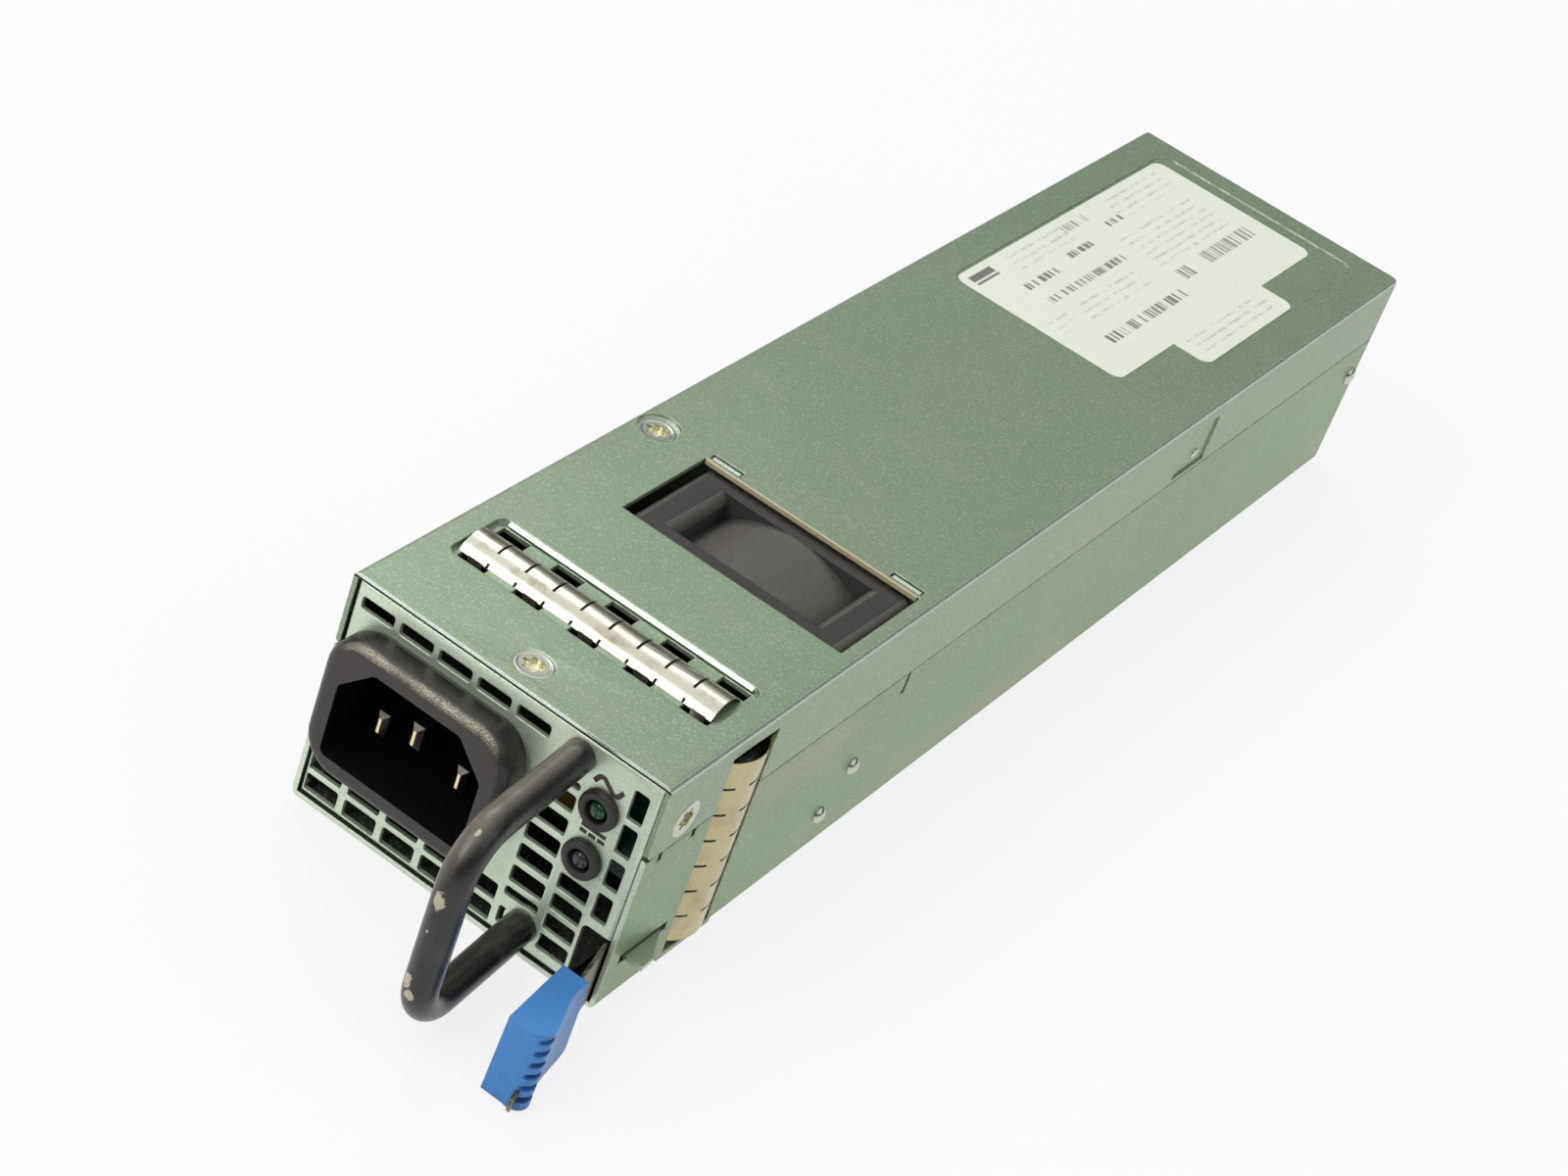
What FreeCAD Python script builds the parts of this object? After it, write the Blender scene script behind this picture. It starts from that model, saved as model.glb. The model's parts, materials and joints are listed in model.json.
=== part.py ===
import FreeCAD, Part
import math
import os

# Hot swap power supply for a rack server. Units are millimetres. +Z is up and the operator's end faces -Y.
# The origin is the centre of the underside of the chassis. Places along Y are counted from the front plane.

# Case
WIDTH = 54.5
DEPTH = 228.6
HEIGHT = 40.0
SHEET = 0.8
BEND = 1.0
SLIP = 0.05            # gap between two sheets that slide over each other
RUNNING = 0.35         # gap between a moving piece and what it passes
SEAM_HEIGHT = 27.0     # where the tray's wall ends and the cover's flange begins
SEAM_GAP = 0.2
LIP_RISE = 6.0         # the tray's joggled lip above the seam
TAB_ABOVE_SCREW = 4.2    # the tray's front tab rises past the side screw
TAB_FRONT = 4.2
TAB_LENGTH = 6.8
RELIEF_LENGTH = 1.2
RELIEF_DEPTH = 1.5
FLANGE_CORNER = 1.2
FLANGE_PAD_START = 149.8  # shallow pressed pad in the cover's flange, with a rivet to the tray's lip
FLANGE_PAD_LENGTH = 11.2
FLANGE_PAD_LOW = 28.0
FLANGE_PAD_HIGH = 37.0
FLANGE_PAD_DEPTH = 0.35

# Gasket recesses and spring fingers
CHANNEL_FRONT = 16.0
CHANNEL_LENGTH = 11.5
CHANNEL_FOOT = 1.0
CHANNEL_HEAD = 3.0
RECESS_LEFT = 4.2
RECESS_RIGHT = 4.2
RECESS_FRONT = 14.8
RECESS_LENGTH = 13.0
RECESS_DEPTH = 0.9
RECESS_CORNER = 1.5
WINDOW_COUNT = 5
WINDOW_PITCH = 9.72
WINDOW_WIDTH = 4.85
WINDOW_LENGTH = 2.2
WINDOW_EDGE = 0.8
FINGER_SHEET = 0.2
FINGER_SLOT = 0.4
ARCH_RISE = 1.9
TOP_FINGERS = 9
TOP_FINGER_PITCH = 4.9
TOP_STRIP_START = 0.6
TOP_ARCH_START = 2.3
TOP_ARCH_SPAN = 7.4
TOP_SLOT_LEAD = 2.1
TOP_NOTCH = 0.5
SIDE_FINGERS = 7
SIDE_FINGER_PITCH = 4.7
SIDE_FINGER_BASE = 2.0
SIDE_ARCH_START = 1.5
SIDE_ARCH_SPAN = 9.8
SIDE_SLOT_LEAD = 4.2
SIDE_NOTCH = 1.8
CLIP_DROP = 1.2
CLIP_MARGIN = 1.2

# Fan, its window and the bulkhead behind it
FAN_SIZE = 38.0
FAN_LENGTH = 20.0
FAN_FRONT = 46.0
FAN_SIDE_GAP = 3.0
FAN_BASE_GAP = 0.1
FAN_FLANGE = 2.6
FAN_CORNER = 2.0
FAN_POST = 6.4
FAN_BORE_R = 18.1
FAN_DUCT_WALL = 0.8
FAN_HOLE_EDGE = 3.0      # hole centres stand this far in from the fan's sides
FAN_HOLE_PITCH = FAN_SIZE - 2 * FAN_HOLE_EDGE
FAN_HOLE_R = 1.75
HUB_R = 9.5
HUB_WALL = 1.0
HUB_LENGTH = 12.5
BLADE_COUNT = 7
BLADE_TIP_GAP = 0.5
BLADE_THICK = 1.1
BLADE_TWIST = 38.0
STRUT_COUNT = 4
STRUT_WIDTH = 2.2
MOTOR_BASE = 2.0
BEARING_R = 3.0
BEARING_LENGTH = 2.5
BEARING_BORE = 1.03
SHAFT_R = 1.0
TUBE_WALL = 1.0
FAN_WINDOW_SIDE = 0.6
FAN_WINDOW_LEAD = 1.1
FAN_WINDOW_REACH = 0.3
FAN_PIN_HEAD = 1.4
FAN_PIN_FLARE = 0.9
BULKHEAD_GAP = 1.3
BULKHEAD_TAB = 5.0
BULKHEAD_TAB_INSET = 0.2
BULKHEAD_OPENING_R = 17.5
SIDE_TAB_BASE = 23.4
SIDE_TAB_HEIGHT = 3.4
SCREW_FLANGE_REACH = 4.0
SCREW_FLANGE_LENGTH = 7.0
TAB_PLAY = 0.3

# Front panel and its vents
PANEL_SETBACK = 0.3
PANEL_TOP_GAP = 0.3
PANEL_FOLD = 10.0
PANEL_JOGGLE = 3.2       # past this depth the side folds step inward, behind the tray's tab
PANEL_BEND = 0.8
SLOT_CORNER = 0.5
TOP_ROW_COUNT = 5
TOP_ROW_LEFT = 2.2
TOP_ROW_PITCH = 6.77
TOP_ROW_WIDTH = 5.75
TOP_ROW_HEAD = 3.1
TOP_ROW_HEIGHT = 2.1
LOW_ROW_COUNT = 5
LOW_ROW_LEFT = 1.45
LOW_ROW_PITCH = 6.95
LOW_ROW_WIDTH = 5.8
LOW_ROW_HEIGHT = 2.95
LOW_ROWS = (1.65, 5.45)
COLUMN_A_EDGE = 18.4
COLUMN_A_WIDTH = 5.7
COLUMN_A = ((30.3, 1.2), (26.3, 3.0), (22.2, 3.0), (18.2, 3.0), (14.2, 3.0), (10.2, 3.0), (7.6, 1.7), (2.6, 3.0))
COLUMN_B_EDGE = 11.4
COLUMN_B_WIDTH = 5.1
COLUMN_B = ((14.1, 2.9), (10.3, 2.9), (6.6, 2.9), (2.9, 2.9))
COLUMN_C_EDGE = 5.2
COLUMN_C_WIDTH = 2.6
COLUMN_C = ((31.2, 5.1), (25.2, 5.1), (19.2, 4.9), (13.3, 4.7))
LATCH_OPENING = 5.7
LATCH_OPENING_HEIGHT = 11.8
LATCH_OPENING_CORNER = 1.0
PANEL_SIDE_FOLD_BASE = 14.0

# Handle
HANDLE_R = 2.5
HANDLE_EDGE = 14.3
HANDLE_LOW = 4.7
HANDLE_TOP_DROP = 4.3
HANDLE_REACH = 26.9
HANDLE_LEAN = 1.9
HANDLE_BEND = 7.2
HANDLE_SEAT_R = 3.1
HANDLE_SCREW_R = 1.5
HANDLE_SCREW_LENGTH = 7.0
HANDLE_SCREW_HEAD_R = 2.0
HANDLE_SCREW_HEAD = 1.6

# Mains inlet, the usual three-blade appliance inlet
INLET_LEFT = 17.9
INLET_HEIGHT = 22.6
INLET_WIDTH = 31.5
INLET_TALL = 23.2
INLET_CORNER = 6.0
INLET_PROUD = 5.6
INLET_LIP = 1.2
INLET_LIP_MARGIN = 0.6
INLET_BODY_WIDTH = 27.6
INLET_BODY_TALL = 20.2
INLET_BODY_CORNER = 3.0
INLET_BODY_DEPTH = 14.0
INLET_BODY_PLAY = 0.1
CAVITY_WIDTH = 24.9
CAVITY_TALL = 17.0
CAVITY_CHAMFER = 5.0
CAVITY_CORNER = 1.2
CAVITY_FLOOR = 2.0
BLADE_WIDTH = 2.0
BLADE_TALL = 4.0
BLADE_SPREAD = 7.0
BLADE_DROP = 2.0
EARTH_RISE = 2.0
BLADE_TIP = 1.2
EARTH_LEAD = 2.5
BLADE_TAIL = 6.0
SNAP_EAR = 0.8

# Status lamps
LAMP_EDGE = 9.0
LAMP_HEIGHTS = (30.0, 21.2)
LAMP_BEZEL_R = 3.1
LAMP_BEZEL_PROUD = 1.2
LAMP_BODY_R = 2.3
LAMP_BODY_LENGTH = 6.0
LAMP_LENS_R = 1.4
LAMP_BOARD = 1.2
LAMP_BOARD_WIDTH = 8.0
LAMP_BOARD_MARGIN = 4.5

# Screws and rivets
COVER_SCREW_R = 1.5
COVER_SCREW_HEAD_R = 3.0
COVER_SCREW_LENGTH = 3.6
SCREW_HEAD_DEPTH = 0.7
TOP_SCREW = 5.1
SIDE_SCREW = 7.7
SIDE_SCREW_HEIGHT = 30.8
REAR_SCREW_LEFT = 4.2
REAR_SCREW_LEAD = 0.9
DIMPLE_R = 3.4
DIMPLE = 0.3
SCREW_PLAY = 0.1
RIVET_R = 1.0
RIVET_DOME_R = 1.4
RIVET_DOME = 0.9
REAR_RIVET_BACK = 2.6
REAR_RIVET_HEIGHT = 20.0
REAR_RIVET_R = 1.75
FLANGE_RIVET_START = 156.5
FLANGE_RIVET_HEIGHT = 30.7
FLANGE_RIVET_R = 0.7
FLANGE_RIVET_DOME_R = 1.0
FLANGE_RIVET_DOME = 0.45
RIVET_TAIL = 0.5

# Latch: a sprung steel leaf riveted inside the right wall, with a hook fin and a moulded grip
LEAF = 0.6
LEAF_BASE = 1.2
LEAF_TALL = 10.2
LEAF_PIVOT = 45.8
PAD_REAR = 61.8
PAD_TALL = 14.6
PAD_NECK = 2.6
LEAF_JOGGLE = 3.5
LATCH_RIVETS = ((59.5, 13.2), (54.0, 6.5))
LEAF_GAP = 0.3
LEAF_SLANT = 13.3
LEAF_END = 18.0
TONGUE_TALL = 2.2
HOOK_FRONT = 3.9
HOOK_REACH = 3.1
HOOK_CREST = 2.7
HOOK_RAMP_END = 13.4
HOOK_BASE = 7.3
HOOK_SHEET = 0.8
HOOK_SLOT_PLAY = 0.45
GRIP_BACK = 9.4
GRIP_LENGTH = 13.6
GRIP_LEFT = 2.1
GRIP_WIDTH = 4.4
GRIP_DRIFT = 1.3
GRIP_SWELL = 1.5
GRIP_BASE = 0.3
GRIP_TALL = 12.3
GRIP_RAKE = 1.25
GRIP_CORNER = 2.2
GROOVE_COUNT = 6
GROOVE_PITCH = 1.88
GROOVE_TALL = 0.95
GROOVE_END_R = 0.42
GROOVE_CENTRE = 2.6
GROOVE_FLOOR = 2.1
GROOVE_TOP = 1.2
GROOVE_START = 0.95
GROOVE_RUN = 3.9
LEAF_POCKET = 0.05
TIP_PROUD = 1.5

# Rear panel and the output connector
REAR_SETBACK = 0.3
REAR_FOLD = 9.0
VENT_R = 1.7
VENT_PITCH = 4.4
VENT_ROWS = 3
VENT_COLUMNS = 11
VENT_BASE = 24.0
PLUG_WIDTH = 43.0
PLUG_TALL = 11.0
PLUG_DEPTH = 17.0
PLUG_CORNER = 1.0
PLUG_PLAY = 0.15
PLUG_FLOOR = 2.5
POWER_SLOTS = 6
POWER_SLOT_PITCH = 4.4
POWER_SLOT_WIDTH = 2.6
POWER_SLOT_TALL = 8.0
POWER_SLOT_START = 2.2
POWER_BLADE = 0.8
POWER_BLADE_SHORT = 2.0
SIGNAL_ROWS = 4
SIGNAL_COLUMNS = 6
SIGNAL_PITCH = 2.0
SIGNAL_PIN = 0.6
SIGNAL_BAY_MARGIN = 1.0

# Boards
INSULATOR = 0.4
BOARD = 1.6
BOARD_LIFT = 2.7
BOARD_MARGIN = 2.1
BOARD_FRONT = 71.0
STANDOFF_R = 2.4
STANDOFF_STUD_R = 1.6
STANDOFF_EDGE = 0.8
BOARD_SCREW_R = 1.25
BOARD_SCREW_HEAD_R = 2.3
BOARD_SCREW_HEAD = 1.6
BOARD_SCREW_LENGTH = 3.5
MAIN_STANDOFFS = ((3.5, 4.0), (3.5, 70.0), (3.5, 128.0))
FILTER_FRONT = 23.0
FILTER_LENGTH = 20.0
FILTER_LEFT = 3.2
FILTER_WIDTH = 43.0

# Parts on the boards
CHOKE_R = 8.0
CHOKE_HOLE_R = 3.6
CHOKE_TALL = 10.0
XCAP = (7.0, 17.0, 13.0)
YCAP_R = 3.5
YCAP_THICK = 3.0
BULK_R = 14.5
BULK_LENGTH = 40.0
BULK_GAP = 0.4
BULK_FRONT = 7.5
BRIDGE = (4.5, 22.0, 15.0)
BRIDGE_EDGE = 10.0
BRIDGE_START = 1.5
BOOST_R = 9.5
BOOST_HOLE_R = 4.0
BOOST_TALL = 12.0
SINK_PLATE = 2.0
SINK_TALL = 30.0
SINK_LENGTH = 62.0
SINK_FINS = 5
SINK_FIN = 1.0
SINK_FIN_REACH = 4.0
SINK_EDGE = 13.5
PACKAGE = (4.6, 15.5, 20.0)
PACKAGE_COUNT = 3
PACKAGE_LEAD = 3.0
PACKAGE_PITCH = 19.0
CORE_WIDTH = 32.0
CORE_LENGTH = 27.0
CORE_TALL = 26.0
CORE_LEG = 6.0
CORE_START = 65.0
CORE_GAP = 3.0
WINDING_GAP = 0.4
OUT_CHOKE_R = 7.5
OUT_CHOKE_HOLE_R = 3.0
OUT_CHOKE_TALL = 11.0
OUT_SINK = (18.0, 14.0, 22.0)
OUT_SINK_BASE = 2.5
OUT_SINK_FINS = 6
OUT_CAP_R = 4.0
OUT_CAP_TALL = 16.0
OUT_CAPS = 5
OUT_CAP_PITCH = 8.6
OUT_CAP_ROW = 34.6
BUS_THICK = 1.5
BUS_WIDTH = 12.0
CARD = (1.2, 40.0, 24.0)
CARD_EDGE = 5.2
CARD_START = 80.0

# Leads and the rating label
LEAD_R = 0.9
LEAD_BEND = 1.2
FAN_LEAD_GAP = 2.6
FAN_LEAD_HEIGHT = 9.0
LABEL_LEFT = 7.0
LABEL_WIDTH = 33.2
LABEL_START = 148.3
LABEL_LENGTH = 72.4
LABEL_CORNER = 2.0
LABEL_WING = 6.8
LABEL_WING_START = 19.2
LABEL_WING_LENGTH = 33.0
LABEL_SHEET = 0.12
LABEL_RECESS = 0.2
LABEL_MARGIN = 0.6
LABEL_REAR_MARGIN = 3.2
LABEL_BED_CORNER = 3.0

# Worked out from the sizes above
LEFT = -WIDTH / 2
RIGHT = WIDTH / 2
FRONT = -DEPTH / 2
REAR = DEPTH / 2
SIDES = (-1, 1)
LIP_SETBACK = SHEET + SLIP
LIP_INNER = LIP_SETBACK + SHEET
TAB_RISE = SIDE_SCREW_HEIGHT + TAB_ABOVE_SCREW - SEAM_HEIGHT
PANEL_EDGE = SHEET + SLIP
PANEL_INSET = LIP_INNER + SLIP
PANEL_TOP = HEIGHT - SHEET - PANEL_TOP_GAP
PANEL_FACE = FRONT + PANEL_SETBACK
PANEL_BACK = PANEL_FACE + SHEET
RECESS_FLOOR = HEIGHT - RECESS_DEPTH
FAN_X = RIGHT - FAN_SIDE_GAP - FAN_SIZE / 2
FAN_Z = SHEET + FAN_BASE_GAP + FAN_SIZE / 2
FAN_REAR = FAN_FRONT + FAN_LENGTH
BULKHEAD_FRONT = FAN_REAR + BULKHEAD_GAP
HANDLE_X = RIGHT - HANDLE_EDGE
HANDLE_HIGH = HEIGHT - HANDLE_TOP_DROP
INLET_X = LEFT + INLET_LEFT
LAMP_X = RIGHT - LAMP_EDGE
BOARD_BASE = SHEET + BOARD_LIFT
BOARD_TOP = BOARD_BASE + BOARD
LEAF_OUTER = LIP_INNER + RUNNING
LEAF_NEAR = SHEET + RUNNING
PLUG_FRONT = REAR - PLUG_DEPTH
REAR_FACE = REAR - REAR_SETBACK
X_AXIS = FreeCAD.Vector(1, 0, 0)
Y_AXIS = FreeCAD.Vector(0, 1, 0)
Z_AXIS = FreeCAD.Vector(0, 0, 1)


def block(x0, x1, y0, y1, z0, z1):
    """A box between two values on each axis."""
    low = FreeCAD.Vector(min(x0, x1), min(y0, y1), min(z0, z1))
    return Part.makeBox(abs(x1 - x0), abs(y1 - y0), abs(z1 - z0), low)


def side_block(side, outer, inner, y0, y1, z0, z1):
    """A box beside one side wall. Its faces are distances inward from the wall's outside."""
    return block(side * (RIGHT - outer), side * (RIGHT - inner), y0, y1, z0, z1)


def rod(radius, base, axis, length):
    """A cylinder from a base point along an axis."""
    return Part.makeCylinder(radius, length, FreeCAD.Vector(*base), axis)


def cone(radius, tip_radius, base, axis, length):
    """A truncated cone from a base point along an axis."""
    return Part.makeCone(radius, tip_radius, length, FreeCAD.Vector(*base), axis)


def round_edges(shape, radius, axis, keep=None):
    """Rounds the straight edges parallel to an axis whose midpoint passes the test."""
    chosen = []
    for edge in shape.Edges:
        if edge.Curve.TypeId != "Part::GeomLine":
            continue
        if abs(edge.tangentAt(edge.FirstParameter).dot(axis)) < 0.999:
            continue
        if keep is None or keep(edge.CenterOfMass):
            chosen.append(edge)
    return shape.makeFillet(radius, chosen)


def rounded(x0, x1, y0, y1, z0, z1, radius, axis):
    """A box whose four edges along one axis are rounded."""
    return round_edges(block(x0, x1, y0, y1, z0, z1), radius, axis)


def prism(points, travel):
    """The solid swept by a flat polygon of 3-D points along a vector."""
    corners = [FreeCAD.Vector(*point) for point in points]
    return Part.Face(Part.makePolygon(corners + corners[:1])).extrude(travel)


def join(shapes):
    """One solid from shapes that touch."""
    return shapes[0].multiFuse(list(shapes[1:])).removeSplitter()


def group(shapes):
    """Separate solids kept together."""
    return Part.makeCompound(shapes)


def mirrored(shape):
    """The shape's mirror image across the middle plane of the case."""
    return shape.mirror(FreeCAD.Vector(0, 0, 0), X_AXIS)


def lead(points, radius, bend):
    """A wire of round section along straight runs joined by tangent arcs."""
    corners = [FreeCAD.Vector(*point) for point in points]
    edges = []
    start = corners[0]
    for before, here, after in zip(corners, corners[1:], corners[2:]):
        back = (before - here).normalize()
        ahead = (after - here).normalize()
        half = back.getAngle(ahead) / 2
        trim = bend / math.tan(half)
        middle = here + (back + ahead).normalize() * (bend / math.sin(half) - bend)
        edges.append(Part.makeLine(start, here + back * trim))
        edges.append(Part.Arc(here + back * trim, middle, here + ahead * trim).toShape())
        start = here + ahead * trim
    edges.append(Part.makeLine(start, corners[-1]))
    path = Part.Wire(edges)
    section = Part.Wire([Part.makeCircle(radius, corners[0], corners[1] - corners[0])])
    return path.makePipeShell([section], True, False)


# ---- sheet metal case ----

def tray_lip(side, start, end, rise):
    """The part of the tray's wall that joggles inward and rises behind the cover's flange."""
    wall = side * (RIGHT - SHEET)
    outer = side * (RIGHT - LIP_SETBACK)
    inner = side * (RIGHT - LIP_INNER)
    top = SEAM_HEIGHT + rise
    shape = (
        (wall, start, SEAM_HEIGHT - 3 * SHEET),
        (wall, start, SEAM_HEIGHT),
        (outer, start, SEAM_HEIGHT),
        (outer, start, top),
        (inner, start, top),
        (inner, start, SEAM_HEIGHT - 2 * SHEET),
    )
    return prism(shape, Y_AXIS * (end - start))


def gasket_channel(side):
    """The pressed channel in the tray's wall: its floor and its two steps."""
    start = FRONT + CHANNEL_FRONT
    end = start + CHANNEL_LENGTH
    top = SEAM_HEIGHT + LIP_RISE
    floor = side_block(side, LIP_SETBACK, LIP_INNER, start - SHEET, end + SHEET, 0, top)
    steps = [
        side_block(side, 0, LIP_INNER, start - SHEET, start, SHEET, SEAM_HEIGHT),
        side_block(side, 0, LIP_INNER, end, end + SHEET, SHEET, SEAM_HEIGHT),
    ]
    foot = side_block(side, 0, LIP_INNER, start - SHEET, end + SHEET, 0, CHANNEL_FOOT)
    return join([floor, foot] + steps)


def hook_slot_box():
    """Y and Z limits of the wall slot that the latch hook comes out through."""
    return (
        FRONT + HOOK_FRONT - HOOK_SLOT_PLAY - SHEET,
        FRONT + HOOK_RAMP_END + 2 * HOOK_SLOT_PLAY,
        HOOK_BASE - HOOK_SLOT_PLAY,
        HOOK_BASE + HOOK_SHEET + HOOK_SLOT_PLAY,
    )


def standoff_places():
    """X and Y of every board standoff: main board first, then filter board."""
    places = []
    for side in SIDES:
        for inset, start in MAIN_STANDOFFS:
            places.append((side * (RIGHT - SHEET - inset), FRONT + BOARD_FRONT + start))
    middle = FRONT + FILTER_FRONT + FILTER_LENGTH / 2
    places.append((LEFT + FILTER_LEFT + STANDOFF_R + STANDOFF_EDGE, middle))
    places.append((LEFT + FILTER_LEFT + FILTER_WIDTH - STANDOFF_R - STANDOFF_EDGE, middle))
    return places


def chassis_tray():
    """The lower sheet: floor, side walls, gasket channels, lips, and the holes that others pass through."""
    shell = block(LEFT, RIGHT, FRONT, REAR, 0, SEAM_HEIGHT)
    shell = round_edges(shell, BEND, Y_AXIS, lambda middle: middle.z < SHEET / 2)
    tray = shell.cut(block(LEFT + SHEET, RIGHT - SHEET, FRONT - 1, REAR + 1, SHEET, SEAM_HEIGHT + 1))
    start = FRONT + CHANNEL_FRONT
    end = start + CHANNEL_LENGTH
    added = []
    removed = []
    for side in SIDES:
        removed.append(side_block(side, -1, SHEET, start, end, CHANNEL_FOOT, SEAM_HEIGHT + 1))
        added.append(gasket_channel(side))
        added.append(tray_lip(side, FRONT + TAB_FRONT, FRONT + TAB_FRONT + TAB_LENGTH, TAB_RISE))
        added.append(tray_lip(side, end + SHEET / 2, REAR - REAR_FOLD - 1.0, LIP_RISE))
    tray = tray.cut(group(removed))
    tray = join([tray] + added)
    holes = []
    tab = FRONT + TAB_FRONT
    for side in SIDES:
        for place in (tab - RELIEF_LENGTH, tab + TAB_LENGTH):
            low = SEAM_HEIGHT - RELIEF_DEPTH
            holes.append(side_block(side, -1, LIP_INNER + 1, place, place + RELIEF_LENGTH, low, SEAM_HEIGHT + 1))
        holes.append(rod(RIVET_R, (side * (RIGHT + 1), REAR - REAR_RIVET_BACK, REAR_RIVET_HEIGHT),
                         X_AXIS * -side, LIP_INNER + 2))
        holes.append(flange_rivet_hole(side))
        slot_front = FRONT + BULKHEAD_FRONT - TAB_PLAY
        slot_rear = FRONT + BULKHEAD_FRONT + SHEET + TAB_PLAY
        holes.append(side_block(side, -1, LIP_INNER + 0.1, slot_front, slot_rear,
                                SIDE_TAB_BASE - TAB_PLAY, SIDE_TAB_BASE + SIDE_TAB_HEIGHT + TAB_PLAY))
        holes.append(side_block(side, SHEET, LIP_INNER + 0.1, slot_front, slot_rear,
                                SIDE_TAB_BASE, SEAM_HEIGHT + LIP_RISE + 1))
    holes += [screw_hole(centre, inward) for centre, inward in side_screw_places()]
    y0, y1, z0, z1 = hook_slot_box()
    holes.append(block(RIGHT - SHEET - 0.01, RIGHT + 1, y0, y1, z0, z1))
    for place, height in LATCH_RIVETS:
        holes.append(rod(RIVET_R, (RIGHT + 1, FRONT + place, height), X_AXIS * -1, SHEET + 2))
    for x, y in standoff_places():
        holes.append(rod(STANDOFF_STUD_R, (x, y, -1), Z_AXIS, SHEET + 2))
    return tray.cut(group(holes))


def label_bed():
    """The space of the shallow pressed bed that the rating label lies in."""
    x0 = LEFT + LABEL_LEFT
    y0 = FRONT + LABEL_START
    return rounded(x0 - LABEL_MARGIN, x0 + LABEL_WIDTH + LABEL_WING + LABEL_MARGIN, y0 - LABEL_MARGIN,
                   y0 + LABEL_LENGTH + LABEL_REAR_MARGIN, HEIGHT - LABEL_RECESS, HEIGHT + 1, LABEL_BED_CORNER, Z_AXIS)


def recess_windows():
    """The two rows of windows in the floor of the top gasket recess."""
    cuts = []
    span = WIDTH - RECESS_LEFT - RECESS_RIGHT
    used = (WINDOW_COUNT - 1) * WINDOW_PITCH + WINDOW_WIDTH
    first = LEFT + RECESS_LEFT + (span - used) / 2
    front = FRONT + RECESS_FRONT
    rows = (front + WINDOW_EDGE, front + RECESS_LENGTH - WINDOW_EDGE - WINDOW_LENGTH)
    for index in range(WINDOW_COUNT):
        x = first + index * WINDOW_PITCH
        for y in rows:
            cuts.append(block(x, x + WINDOW_WIDTH, y, y + WINDOW_LENGTH,
                              RECESS_FLOOR - SHEET - 1, RECESS_FLOOR + 0.5))
    return cuts


def bulkhead_tab_places():
    """Left edges of the two bulkhead tabs that rise into the cover."""
    left = FAN_X - FAN_SIZE / 2
    return (left, left + FAN_SIZE - BULKHEAD_TAB)


def side_screw_places():
    """Head centre and inward direction of the two screws through the flanges."""
    return [((side * RIGHT, FRONT + SIDE_SCREW, SIDE_SCREW_HEIGHT), X_AXIS * -side) for side in SIDES]


def rear_screw_place():
    """Head centre of the screw into the bulkhead, sunk in its dimple."""
    return (LEFT + REAR_SCREW_LEFT, FRONT + BULKHEAD_FRONT - REAR_SCREW_LEAD, HEIGHT - DIMPLE)


def cover_screw_places():
    """Head centre and inward direction of each cover screw."""
    down = Z_AXIS * -1
    return [((0.0, FRONT + TOP_SCREW, HEIGHT), down), (rear_screw_place(), down)] + side_screw_places()


def flange_rivet_hole(side):
    """The hole for the rivet that ties one flange of the cover to the tray's lip."""
    return rod(FLANGE_RIVET_R, (side * (RIGHT + 1), FRONT + FLANGE_RIVET_START, FLANGE_RIVET_HEIGHT),
               X_AXIS * -side, LIP_INNER + 2)


def screw_hole(centre, inward):
    """A countersunk clearance hole that starts just outside the sheet."""
    outside = [value - step for value, step in zip(centre, inward)]
    hole = rod(COVER_SCREW_R + SCREW_PLAY, outside, inward, COVER_SCREW_LENGTH + 2)
    sink = cone(COVER_SCREW_HEAD_R + SCREW_PLAY, COVER_SCREW_R + SCREW_PLAY, centre, inward, SCREW_HEAD_DEPTH)
    return hole.fuse(sink)


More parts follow.
